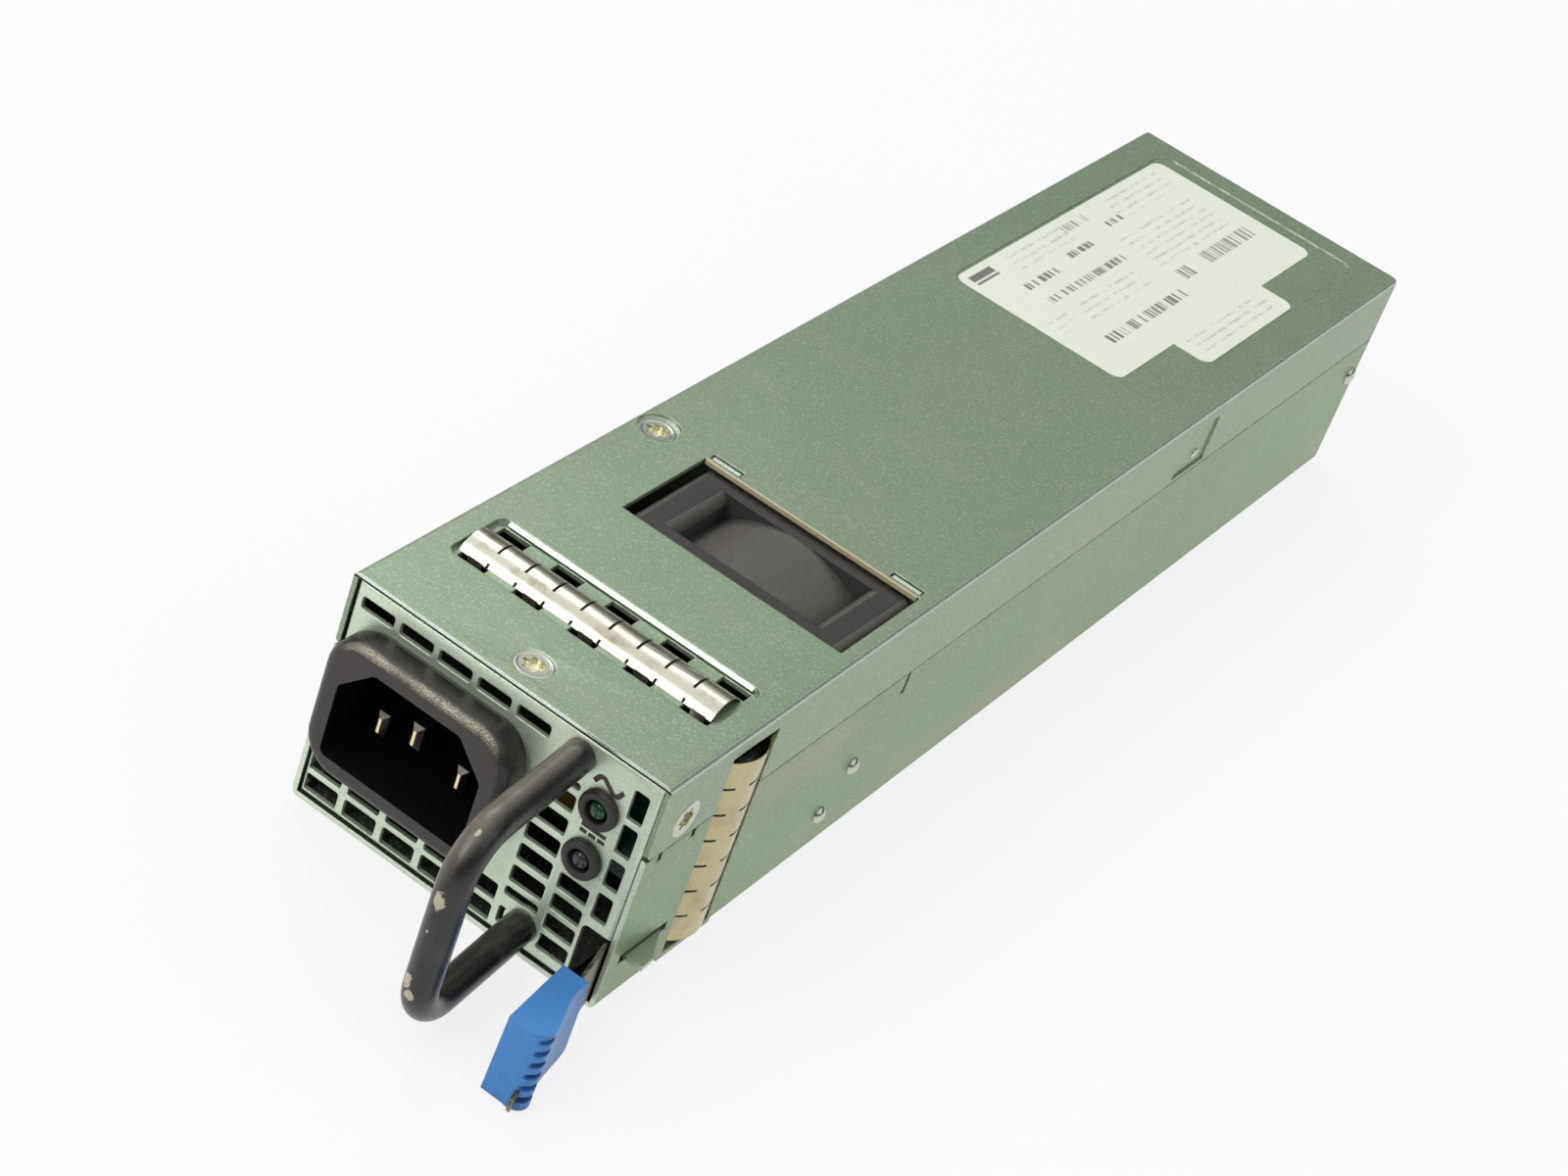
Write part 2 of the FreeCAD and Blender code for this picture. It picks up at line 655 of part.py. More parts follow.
def top_cover():
    """The upper sheet: top plate and side flanges, gasket recess, fan window, label recess and screw holes."""
    base = SEAM_HEIGHT + SEAM_GAP
    shell = block(LEFT, RIGHT, FRONT, REAR, base, HEIGHT)
    shell = round_edges(shell, BEND, Y_AXIS, lambda middle: middle.z > HEIGHT - SHEET / 2)
    cover = shell.cut(block(LEFT + SHEET, RIGHT - SHEET, FRONT - 1, REAR + 1, base - 1, HEIGHT - SHEET))
    cover = round_edges(cover, FLANGE_CORNER, X_AXIS, lambda middle: middle.z < base + SLIP and middle.y < FRONT + SLIP)
    x0 = LEFT + RECESS_LEFT
    x1 = RIGHT - RECESS_RIGHT
    y0 = FRONT + RECESS_FRONT
    y1 = y0 + RECESS_LENGTH
    low = RECESS_FLOOR - SHEET
    pan = rounded(x0 - SHEET, x1 + SHEET, y0 - SHEET, y1 + SHEET, low, HEIGHT - SHEET / 2,
                  RECESS_CORNER + SHEET, Z_AXIS)
    dimple = rear_screw_place()
    cup = rod(DIMPLE_R + SHEET, (dimple[0], dimple[1], HEIGHT - DIMPLE - SHEET), Z_AXIS, SHEET)
    cup = cup.common(block(LEFT + SHEET / 2, 0, FRONT, REAR, 0, HEIGHT))
    cover = join([cover, pan, cup])
    cuts = [rounded(x0, x1, y0, y1, RECESS_FLOOR, HEIGHT + 1, RECESS_CORNER, Z_AXIS)]
    cuts += recess_windows()
    fan_left = FAN_X - FAN_SIZE / 2 - FAN_WINDOW_SIDE
    fan_right = FAN_X + FAN_SIZE / 2 + FAN_WINDOW_SIDE
    cuts.append(block(fan_left, fan_right, FRONT + FAN_FRONT - FAN_WINDOW_LEAD, FRONT + FAN_REAR + FAN_WINDOW_REACH,
                      HEIGHT - SHEET - 1, HEIGHT + 1))
    slot_front = FRONT + BULKHEAD_FRONT - TAB_PLAY
    for x in bulkhead_tab_places():
        cuts.append(block(x - TAB_PLAY, x + BULKHEAD_TAB + TAB_PLAY, slot_front,
                          slot_front + SHEET + 2 * TAB_PLAY, HEIGHT - SHEET - 1, HEIGHT + 1))
    cuts.append(label_bed())
    cuts.append(rod(DIMPLE_R, dimple, Z_AXIS, DIMPLE + 1))
    start = FRONT + CHANNEL_FRONT
    for side in SIDES:
        cuts.append(side_block(side, -1, SHEET + 0.01, start, start + CHANNEL_LENGTH, base - 1,
                               HEIGHT - CHANNEL_HEAD))
        pad = FRONT + FLANGE_PAD_START
        cuts.append(side_block(side, -1, FLANGE_PAD_DEPTH, pad, pad + FLANGE_PAD_LENGTH, FLANGE_PAD_LOW, FLANGE_PAD_HIGH))
        cuts.append(flange_rivet_hole(side))
    for centre, inward in cover_screw_places():
        cuts.append(screw_hole(centre, inward))
    return cover.cut(group(cuts))


def inlet_opening(low, high, play):
    """The block that the inlet's rear body fills, grown by a play on each side."""
    half = INLET_BODY_WIDTH / 2 + play
    rise = INLET_BODY_TALL / 2 + play
    return rounded(INLET_X - half, INLET_X + half, low, high, INLET_HEIGHT - rise, INLET_HEIGHT + rise,
                   INLET_BODY_CORNER, Y_AXIS)


def vent_slot(x, z, width, height):
    """One rounded vent slot through the front panel."""
    return rounded(x, x + width, PANEL_FACE - 1, PANEL_BACK + 0.5, z, z + height, SLOT_CORNER, Y_AXIS)


def front_vents():
    """All vent slots of the front panel, short of the handle's seats."""
    slots = []
    for index in range(TOP_ROW_COUNT):
        x = LEFT + TOP_ROW_LEFT + index * TOP_ROW_PITCH
        slots.append(vent_slot(x, HEIGHT - TOP_ROW_HEAD - TOP_ROW_HEIGHT, TOP_ROW_WIDTH, TOP_ROW_HEIGHT))
    for index in range(LOW_ROW_COUNT):
        x = LEFT + LOW_ROW_LEFT + index * LOW_ROW_PITCH
        for z in LOW_ROWS:
            slots.append(vent_slot(x, z, LOW_ROW_WIDTH, LOW_ROW_HEIGHT))
    columns = (
        (COLUMN_A_EDGE, COLUMN_A_WIDTH, COLUMN_A),
        (COLUMN_B_EDGE, COLUMN_B_WIDTH, COLUMN_B),
        (COLUMN_C_EDGE, COLUMN_C_WIDTH, COLUMN_C),
    )
    for edge, width, heights in columns:
        for z, height in heights:
            slots.append(vent_slot(RIGHT - edge, z, width, height))
    seats = [rod(HANDLE_SEAT_R, (HANDLE_X, PANEL_FACE - 2, z), Y_AXIS, 4) for z in (HANDLE_LOW, HANDLE_HIGH)]
    return group(slots).cut(group(seats))


def front_panel():
    """The vented front sheet, folded back on four sides, with openings for the inlet, lamps and latch."""
    x0 = LEFT + PANEL_INSET
    x1 = RIGHT - PANEL_INSET
    step = PANEL_FACE + PANEL_JOGGLE
    y1 = PANEL_FACE + PANEL_FOLD
    z0 = SHEET + SLIP
    face = block(LEFT + PANEL_EDGE, RIGHT - PANEL_EDGE, PANEL_FACE, step, z0, PANEL_TOP)
    front_edges = [edge for edge in face.Edges if abs(edge.CenterOfMass.y - PANEL_FACE) < 1e-6]
    face = face.makeFillet(PANEL_BEND, front_edges)
    shell = join([face, block(x0, x1, step - SHEET, y1, z0, PANEL_TOP)])
    inner = LEFT + PANEL_EDGE + SHEET
    panel = shell.cut(block(inner, -inner, PANEL_BACK, step - SHEET, z0 + SHEET, PANEL_TOP - SHEET))
    panel = panel.cut(block(x0 + SHEET, x1 - SHEET, PANEL_BACK, y1 + 1, z0 + SHEET, PANEL_TOP - SHEET))
    edge = RIGHT - LATCH_OPENING
    opening = block(edge, RIGHT, PANEL_FACE - 1, y1 + 1, -1, LATCH_OPENING_HEIGHT)
    opening = round_edges(opening, LATCH_OPENING_CORNER, Y_AXIS,
                          lambda middle: middle.z > 1 and middle.x < edge + SLIP)
    cuts = [opening, front_vents()]
    cuts.append(block(x1 - SHEET - SLIP, RIGHT, PANEL_BACK, y1 + 1, -1, PANEL_SIDE_FOLD_BASE))
    cuts.append(inlet_opening(PANEL_FACE - 1, PANEL_BACK + 1, INLET_BODY_PLAY))
    for z in LAMP_HEIGHTS:
        cuts.append(rod(LAMP_BODY_R + SLIP, (LAMP_X, PANEL_FACE - 1, z), Y_AXIS, SHEET + 2))
    for z in (HANDLE_LOW, HANDLE_HIGH):
        cuts.append(rod(HANDLE_SCREW_R + SLIP, (HANDLE_X, PANEL_FACE - 1, z), Y_AXIS, SHEET + 2))
    for centre, inward in cover_screw_places():
        if centre[1] < y1:
            cuts.append(rod(COVER_SCREW_R + SLIP, centre, inward, COVER_SCREW_LENGTH + 2))
    return panel.cut(group(cuts))


def rear_panel():
    """The rear sheet: air exit holes and the cut-out for the output connector, with folded sides."""
    x0 = LEFT + PANEL_INSET
    x1 = RIGHT - PANEL_INSET
    y1 = REAR_FACE
    y0 = y1 - REAR_FOLD
    z0 = SHEET + SLIP
    top = PANEL_TOP
    face = block(x0, x1, y1 - SHEET, y1, z0, top)
    flanges = []
    for side in SIDES:
        flanges.append(side_block(side, SHEET + SLIP, SHEET + SLIP + SHEET, y0, y1, z0, SEAM_HEIGHT - 1))
        flanges.append(side_block(side, SHEET + SLIP, PANEL_INSET + SHEET, y1 - SHEET, y1, z0, SEAM_HEIGHT - 1))
    flanges.append(block(x0, x1, y0, y1, top - SHEET, top))
    panel = join([face] + flanges)
    cuts = []
    first = -(VENT_COLUMNS - 1) / 2 * VENT_PITCH
    rise = VENT_PITCH * math.sqrt(3) / 2
    for row in range(VENT_ROWS):
        shift = VENT_PITCH / 2 if row % 2 else 0
        for column in range(VENT_COLUMNS - row % 2):
            x = first + shift + column * VENT_PITCH
            cuts.append(rod(VENT_R, (x, y1 - SHEET - 1, VENT_BASE + row * rise), Y_AXIS, SHEET + 2))
    cuts.append(plug_block(y1 - SHEET - 1, y1 + 1, PLUG_PLAY))
    for side in SIDES:
        cuts.append(rod(RIVET_R, (side * RIGHT, REAR - REAR_RIVET_BACK, REAR_RIVET_HEIGHT),
                        X_AXIS * -side, LIP_INNER + 1))
    return panel.cut(group(cuts))


# ---- fasteners ----

def countersunk_screw(centre, inward):
    """A flat-headed screw, its head flush with the sheet."""
    head = cone(COVER_SCREW_HEAD_R, COVER_SCREW_R, centre, inward, SCREW_HEAD_DEPTH)
    shank = rod(COVER_SCREW_R, centre, inward, COVER_SCREW_LENGTH)
    return join([head, shank])


def cover_screws():
    """The four screws that hold the cover."""
    return group([countersunk_screw(centre, inward) for centre, inward in cover_screw_places()])


def dome_rivet(spot, side, head, grip_in):
    """A rivet through a side wall. The head is its radius, its rise and the shank's radius."""
    head_r, rise, shank_r = head
    outer, y, z = spot
    inward = X_AXIS * -side
    ball_r = (head_r ** 2 + rise ** 2) / (2 * rise)
    ball = Part.makeSphere(ball_r, FreeCAD.Vector(outer - side * (ball_r - rise), y, z))
    dome = ball.common(block(outer, outer + side * 2 * rise, y - head_r, y + head_r, z - head_r, z + head_r))
    shank = rod(shank_r, spot, inward, grip_in)
    tail = rod(shank_r * 1.4, (outer - side * grip_in, y, z), inward, RIVET_TAIL)
    return join([dome, shank, tail])


def latch_rivets():
    """The two rivets that hold the latch's steel pad."""
    head = (RIVET_DOME_R, RIVET_DOME, RIVET_R)
    return group([dome_rivet((RIGHT, FRONT + y, z), 1, head, SHEET + LEAF) for y, z in LATCH_RIVETS])


def rear_rivets():
    """One rivet on each side that holds the rear panel's fold."""
    head = (REAR_RIVET_R, RIVET_DOME, RIVET_R)
    place = REAR - REAR_RIVET_BACK
    return group([dome_rivet((side * RIGHT, place, REAR_RIVET_HEIGHT), side, head, 2 * SHEET + SLIP) for side in SIDES])


def flange_rivets():
    """One small rivet on each side that ties the cover's flange to the tray's lip, set in the pressed pad."""
    head = (FLANGE_RIVET_DOME_R, FLANGE_RIVET_DOME, FLANGE_RIVET_R)
    place = FRONT + FLANGE_RIVET_START
    rivets = []
    for side in SIDES:
        spot = (side * (RIGHT - FLANGE_PAD_DEPTH), place, FLANGE_RIVET_HEIGHT)
        rivets.append(dome_rivet(spot, side, head, LIP_INNER - FLANGE_PAD_DEPTH))
    return group(rivets)


# ---- EMI gaskets ----

def finger_arch(length, span):
    """A spring strip lying along +X from the origin: an arch over Y with both edges on the floor."""
    half = span / 2
    inner_half = half - FINGER_SHEET
    inner_rise = ARCH_RISE - FINGER_SHEET
    outer = Part.Arc(FreeCAD.Vector(0, -half, 0), FreeCAD.Vector(0, 0, ARCH_RISE), FreeCAD.Vector(0, half, 0))
    inner = Part.Arc(FreeCAD.Vector(0, inner_half, 0), FreeCAD.Vector(0, 0, inner_rise),
                     FreeCAD.Vector(0, -inner_half, 0))
    ends = [
        Part.makeLine(FreeCAD.Vector(0, half, 0), FreeCAD.Vector(0, inner_half, 0)),
        Part.makeLine(FreeCAD.Vector(0, -inner_half, 0), FreeCAD.Vector(0, -half, 0)),
    ]
    profile = Part.Face(Part.Wire([outer.toShape(), ends[0], inner.toShape(), ends[1]]))
    return profile.extrude(X_AXIS * length)


def finger_slots(count, pitch, reaches):
    """Cuts between the fingers of a strip, one for each reach over Y."""
    cuts = []
    for index in range(1, count):
        x = index * pitch
        for y0, y1 in reaches:
            cuts.append(block(x - FINGER_SLOT / 2, x + FINGER_SLOT / 2, y0, y1, -1, ARCH_RISE + 1))
    return group(cuts)


def top_gasket():
    """The finger strip in the cover's recess, with clips that hook down through the front windows."""
    half = TOP_ARCH_SPAN / 2
    strip = finger_arch(TOP_FINGERS * TOP_FINGER_PITCH, TOP_ARCH_SPAN)
    reaches = ((TOP_SLOT_LEAD - half, half + 1), (-half - 1, TOP_NOTCH - half))
    strip = strip.cut(finger_slots(TOP_FINGERS, TOP_FINGER_PITCH, reaches))
    middle = FRONT + RECESS_FRONT + TOP_ARCH_START + half
    strip.translate(FreeCAD.Vector(LEFT + RECESS_LEFT + TOP_STRIP_START, middle, RECESS_FLOOR))
    clips = []
    for cut in recess_windows():
        bounds = cut.BoundBox
        if bounds.Center.y < middle:
            clips.append(block(bounds.XMin + CLIP_MARGIN, bounds.XMax - CLIP_MARGIN, middle - half,
                               middle - half + FINGER_SHEET, RECESS_FLOOR - CLIP_DROP, RECESS_FLOOR + FINGER_SHEET))
    return join([strip] + clips)


def side_gasket(side):
    """The finger strip in one side wall's channel, standing upright."""
    half = SIDE_ARCH_SPAN / 2
    strip = finger_arch(SIDE_FINGERS * SIDE_FINGER_PITCH, SIDE_ARCH_SPAN)
    reaches = ((-half - 1, half - SIDE_SLOT_LEAD), (half - SIDE_NOTCH, half + 1))
    strip = strip.cut(finger_slots(SIDE_FINGERS, SIDE_FINGER_PITCH, reaches))
    strip.rotate(FreeCAD.Vector(0, 0, 0), Y_AXIS, -90)
    strip.rotate(FreeCAD.Vector(0, 0, 0), Z_AXIS, 180)
    middle = FRONT + CHANNEL_FRONT + SIDE_ARCH_START + half
    strip.translate(FreeCAD.Vector(RIGHT - LIP_SETBACK, middle, SIDE_FINGER_BASE))
    return strip if side > 0 else mirrored(strip)


# ---- handle, inlet and lamps ----

def handle_bar():
    """The bent rod of the pull handle, with a threaded hole in each foot."""
    reach = PANEL_FACE - HANDLE_REACH
    far = HANDLE_X + HANDLE_LEAN
    foot = HANDLE_X - HANDLE_LEAN * HANDLE_R / HANDLE_REACH
    root = PANEL_FACE + HANDLE_R
    path = ((foot, root, HANDLE_LOW), (far, reach, HANDLE_LOW), (far, reach, HANDLE_HIGH), (foot, root, HANDLE_HIGH))
    bar = lead(path, HANDLE_R, HANDLE_BEND)
    bar = bar.cut(block(LEFT, RIGHT, PANEL_FACE, root + HANDLE_R, 0, HEIGHT))
    depth = HANDLE_SCREW_LENGTH - SHEET + 0.5
    taps = [rod(HANDLE_SCREW_R + SLIP, (HANDLE_X, PANEL_FACE - depth, z), Y_AXIS, depth + 1)
            for z in (HANDLE_LOW, HANDLE_HIGH)]
    return bar.cut(group(taps))


def handle_screws():
    """The two screws that hold the handle from behind the front panel."""
    screws = []
    for z in (HANDLE_LOW, HANDLE_HIGH):
        shank = rod(HANDLE_SCREW_R, (HANDLE_X, PANEL_BACK, z), Y_AXIS * -1, HANDLE_SCREW_LENGTH)
        head = rod(HANDLE_SCREW_HEAD_R, (HANDLE_X, PANEL_BACK, z), Y_AXIS, HANDLE_SCREW_HEAD)
        screws.append(join([shank, head]))
    return group(screws)


def cavity_block(low, high):
    """The inlet's socket space: a rectangle with its two top corners cut off."""
    half = CAVITY_WIDTH / 2
    base = INLET_HEIGHT - CAVITY_TALL / 2
    top = INLET_HEIGHT + CAVITY_TALL / 2
    points = (
        (INLET_X - half, low, base),
        (INLET_X + half, low, base),
        (INLET_X + half, low, top - CAVITY_CHAMFER),
        (INLET_X + half - CAVITY_CHAMFER, low, top),
        (INLET_X - half + CAVITY_CHAMFER, low, top),
        (INLET_X - half, low, top - CAVITY_CHAMFER),
    )
    space = prism(points, Y_AXIS * (high - low))
    return round_edges(space, CAVITY_CORNER, Y_AXIS)


def blade_places():
    """X offset, Z and lead of each inlet blade: live, neutral, earth."""
    low = INLET_HEIGHT - BLADE_DROP
    return ((-BLADE_SPREAD, low, 0.0), (BLADE_SPREAD, low, 0.0), (0.0, INLET_HEIGHT + EARTH_RISE, EARTH_LEAD))


def inlet_housing():
    """The moulded inlet: rounded bezel outside the panel, socket cavity, rear body and snap ears."""
    half = INLET_WIDTH / 2
    rise = INLET_TALL / 2
    front = PANEL_FACE - INLET_PROUD
    bezel = rounded(INLET_X - half, INLET_X + half, front, PANEL_FACE - INLET_LIP,
                    INLET_HEIGHT - rise, INLET_HEIGHT + rise, INLET_CORNER, Y_AXIS)
    rim = [edge for edge in bezel.Edges if abs(edge.CenterOfMass.y - front) < 1e-6]
    bezel = bezel.makeFillet(1.6, rim)
    side = half - INLET_LIP_MARGIN
    tall = rise - INLET_LIP_MARGIN
    base = rounded(INLET_X - side, INLET_X + side, PANEL_FACE - INLET_LIP, PANEL_FACE,
                   INLET_HEIGHT - tall, INLET_HEIGHT + tall, INLET_CORNER - INLET_LIP_MARGIN, Y_AXIS)
    rear = PANEL_FACE + INLET_BODY_DEPTH
    body = inlet_opening(PANEL_FACE, rear, 0.0)
    ears = []
    for sign in SIDES:
        edge = INLET_X + sign * INLET_BODY_WIDTH / 2
        ear = ((edge, PANEL_BACK + SLIP, INLET_HEIGHT - 3), (edge + sign * SNAP_EAR, PANEL_BACK + SLIP, INLET_HEIGHT - 3),
               (edge, PANEL_BACK + 5, INLET_HEIGHT - 3))
        ears.append(prism(ear, Z_AXIS * 6))
    housing = join([bezel, base, body] + ears)
    cuts = [cavity_block(front - 1, rear - CAVITY_FLOOR)]
    for offset, z, _ in blade_places():
        cuts.append(block(INLET_X + offset - BLADE_WIDTH / 2, INLET_X + offset + BLADE_WIDTH / 2,
                          rear - CAVITY_FLOOR - 1, rear + 1, z - BLADE_TALL / 2, z + BLADE_TALL / 2))
    return housing.cut(group(cuts))


def inlet_blades():
    """The three blades, each with a solder tail behind the inlet."""
    blades = []
    rear = PANEL_FACE + INLET_BODY_DEPTH
    for offset, z, ahead in blade_places():
        x = INLET_X + offset
        front = PANEL_FACE - BLADE_TIP - ahead
        blade = block(x - BLADE_WIDTH / 2, x + BLADE_WIDTH / 2, front, rear, z - BLADE_TALL / 2, z + BLADE_TALL / 2)
        tips = [edge for edge in blade.Edges if abs(edge.CenterOfMass.y - front) < 1e-6]
        blade = blade.makeChamfer(0.5, tips)
        tail = block(x - BLADE_WIDTH / 4, x + BLADE_WIDTH / 4, rear, rear + BLADE_TAIL,
                     z - BLADE_TALL / 2 + 0.3, z + BLADE_TALL / 2 - 0.3)
        blades.append(join([blade, tail]))
    return group(blades)


def led_bezels():
    """The black holders of the two status lamps."""
    holders = []
    for z in LAMP_HEIGHTS:
        ring = rod(LAMP_BEZEL_R, (LAMP_X, PANEL_FACE - LAMP_BEZEL_PROUD, z), Y_AXIS, LAMP_BEZEL_PROUD)
        rim = [edge for edge in ring.Edges if abs(edge.CenterOfMass.y - (PANEL_FACE - LAMP_BEZEL_PROUD)) < 1e-6]
        ring = ring.makeFillet(0.4, rim)
        barrel = rod(LAMP_BODY_R, (LAMP_X, PANEL_FACE, z), Y_AXIS, LAMP_BODY_LENGTH)
        bore = rod(LAMP_LENS_R, (LAMP_X, PANEL_FACE - 3, z), Y_AXIS, LAMP_BODY_LENGTH + 5)
        holders.append(join([ring, barrel]).cut(bore))
    return group(holders)


def led_lenses():
    """The lamps themselves: a domed clear rod in each holder."""
    lenses = []
    for z in LAMP_HEIGHTS:
        start = PANEL_FACE - LAMP_BEZEL_PROUD + 0.7
        end = PANEL_FACE + LAMP_BODY_LENGTH
        stem = rod(LAMP_LENS_R, (LAMP_X, start, z), Y_AXIS, end - start)
        nose = Part.makeSphere(LAMP_LENS_R, FreeCAD.Vector(LAMP_X, start, z))
        nose = nose.common(block(LAMP_X - 3, LAMP_X + 3, start - 0.8, start, z - 3, z + 3))
        lenses.append(join([stem, nose]))
    return group(lenses)


def led_board():
    """The small board behind the lamps, seated on the holders."""
    y = PANEL_FACE + LAMP_BODY_LENGTH
    half = LAMP_BOARD_WIDTH / 2
    return block(LAMP_X - half, LAMP_X + half, y, y + LAMP_BOARD,
                 min(LAMP_HEIGHTS) - LAMP_BOARD_MARGIN, max(LAMP_HEIGHTS) + LAMP_BOARD_MARGIN)


# ---- latch ----

def wall_x(inset):
    """X of a plane a given distance inside the right wall's outer face."""
    return RIGHT - inset


def bent_leaf(outer, low, tall):
    """An upright steel strip from the plan of its outer face."""
    inner = [(x - LEAF, y) for x, y in reversed(outer)]
    points = [(x, y, low) for x, y in outer + inner]
    return prism(points, Z_AXIS * tall)


def latch_spring_mount():
    """The rear end of the latch's steel leaf: a pad riveted inside the right wall, joggled inward ahead of it."""
    y1 = FRONT + PAD_REAR
    neck = FRONT + LATCH_RIVETS[1][0] - PAD_NECK
    low = LEAF_BASE
    points = (
        (wall_x(SHEET), neck, low),
        (wall_x(SHEET), y1 - 2, low),
        (wall_x(SHEET), y1, low + 2),
        (wall_x(SHEET), y1, low + PAD_TALL),
        (wall_x(SHEET), neck + 4, low + PAD_TALL),
        (wall_x(SHEET), neck, low + LEAF_TALL),
    )
    pad = prism(points, X_AXIS * -LEAF)
    strip = [
        (wall_x(SHEET), neck),
        (wall_x(LEAF_OUTER), neck - LEAF_JOGGLE),
        (wall_x(LEAF_OUTER), FRONT + LEAF_PIVOT + LEAF_GAP),
    ]
    holes = [rod(RIVET_R, (RIGHT, FRONT + y, z), X_AXIS * -1, 4) for y, z in LATCH_RIVETS]
    return join([pad, bent_leaf(strip, low, LEAF_TALL)]).cut(group(holes))


def leaf_line(reach):
    """Plan of the leaf's outer face from its pivot to a reach ahead of the case: X and Y of each bend."""
    slant = math.tan(math.radians(LEAF_SLANT))
    channel_end = FRONT + CHANNEL_FRONT - SHEET
    return [
        (wall_x(LEAF_OUTER), FRONT + LEAF_PIVOT),
        (wall_x(LEAF_OUTER), channel_end - 1.0),
        (wall_x(LEAF_NEAR), channel_end - LEAF_JOGGLE),
        (wall_x(LEAF_NEAR), FRONT),
        (wall_x(LEAF_NEAR) + reach * slant, FRONT - reach),
    ]


def leaf_solid(play):
    """The bent leaf and the narrow tongue at its end, grown in height by a play."""
    pieces = []
    spans = ((LEAF_END, LEAF_TALL), (GRIP_BACK + GRIP_LENGTH + GRIP_RAKE + TIP_PROUD, TONGUE_TALL))
    for reach, tall in spans:
        pieces.append(bent_leaf(leaf_line(reach), LEAF_BASE - play, tall + 2 * play))
    return join(pieces)


def latch_spring_arm():
    """The moving part of the leaf with its hook fin, and its end inside the grip."""
    leaf = leaf_solid(0.0)
    inner = wall_x(LEAF_NEAR + LEAF / 2)
    reach = RIGHT + HOOK_REACH
    fin = prism(
        (
            (inner, FRONT + HOOK_FRONT, HOOK_BASE),
            (reach, FRONT + HOOK_FRONT, HOOK_BASE),
            (reach - 0.15, FRONT + HOOK_FRONT + HOOK_CREST, HOOK_BASE),
            (wall_x(SHEET / 2), FRONT + HOOK_RAMP_END, HOOK_BASE),
            (inner, FRONT + HOOK_RAMP_END - 1.5, HOOK_BASE),
        ),
        Z_AXIS * HOOK_SHEET,
    )
    return join([leaf, fin])


def grip_plan(z, push):
    """The grip's outline at one height, its front face pushed forward by a rake."""
    x0 = RIGHT - GRIP_LEFT
    x1 = x0 + GRIP_WIDTH
    back = FRONT - GRIP_BACK
    front = back - GRIP_LENGTH - push
    waist = back - GRIP_LENGTH * 0.3
    widest = back - GRIP_LENGTH * 0.74 - push
    point = FreeCAD.Vector
    far_left = point(x0 + GRIP_DRIFT, front, z)
    side_bulge = point(x1 + GRIP_DRIFT + GRIP_SWELL * 0.8, widest, z)
    nose_end = point(x1 + GRIP_DRIFT + GRIP_SWELL - GRIP_CORNER, front, z)
    nose_mid = point(x1 + GRIP_DRIFT + GRIP_SWELL * 0.75 + push * 0.6, front + GRIP_CORNER * 0.55, z)
    flow = Part.BSplineCurve()
    flow.interpolate([point(x1, back, z), point(x1 + 0.25 + push * 0.4, waist, z), point(x1 + GRIP_SWELL * 0.9, (waist + widest) / 2, z),
                      side_bulge])
    nose = Part.Arc(side_bulge, nose_mid, nose_end)
    return Part.Wire([
        Part.makeLine(point(x0, back, z), point(x1, back, z)),
        flow.toShape(),
        nose.toShape(),
        Part.makeLine(nose_end, far_left),
        Part.makeLine(far_left, point(x0, back, z)),
    ])


def latch_grip():
    """The moulded grip on the leaf's end, with finger grooves down its front corner."""
    top = GRIP_BASE + GRIP_TALL
    body = Part.makeLoft([grip_plan(GRIP_BASE, GRIP_RAKE), grip_plan(top, 0.0)], True)
    grooves = []
    front = FRONT - GRIP_BACK - GRIP_LENGTH
    corner_x = RIGHT - GRIP_LEFT + GRIP_WIDTH + GRIP_DRIFT + GRIP_SWELL
    for index in range(GROOVE_COUNT):
        z = top - GROOVE_TOP - index * GROOVE_PITCH
        push = GRIP_RAKE * (top - z) / GRIP_TALL
        spot = (corner_x - GROOVE_CENTRE, front - push + GROOVE_CENTRE, z - GROOVE_TALL / 2)
        slot = rounded(corner_x - GROOVE_START, corner_x + GRIP_CORNER,
                       front - push - GRIP_CORNER, front - push + GROOVE_RUN,
                       spot[2], spot[2] + GROOVE_TALL, GROOVE_END_R, Y_AXIS)
        grooves.append(slot.cut(rod(GROOVE_FLOOR, spot, Z_AXIS, GROOVE_TALL)))
    return body.cut(group(grooves)).cut(leaf_solid(LEAF_POCKET))


# ---- fan ----

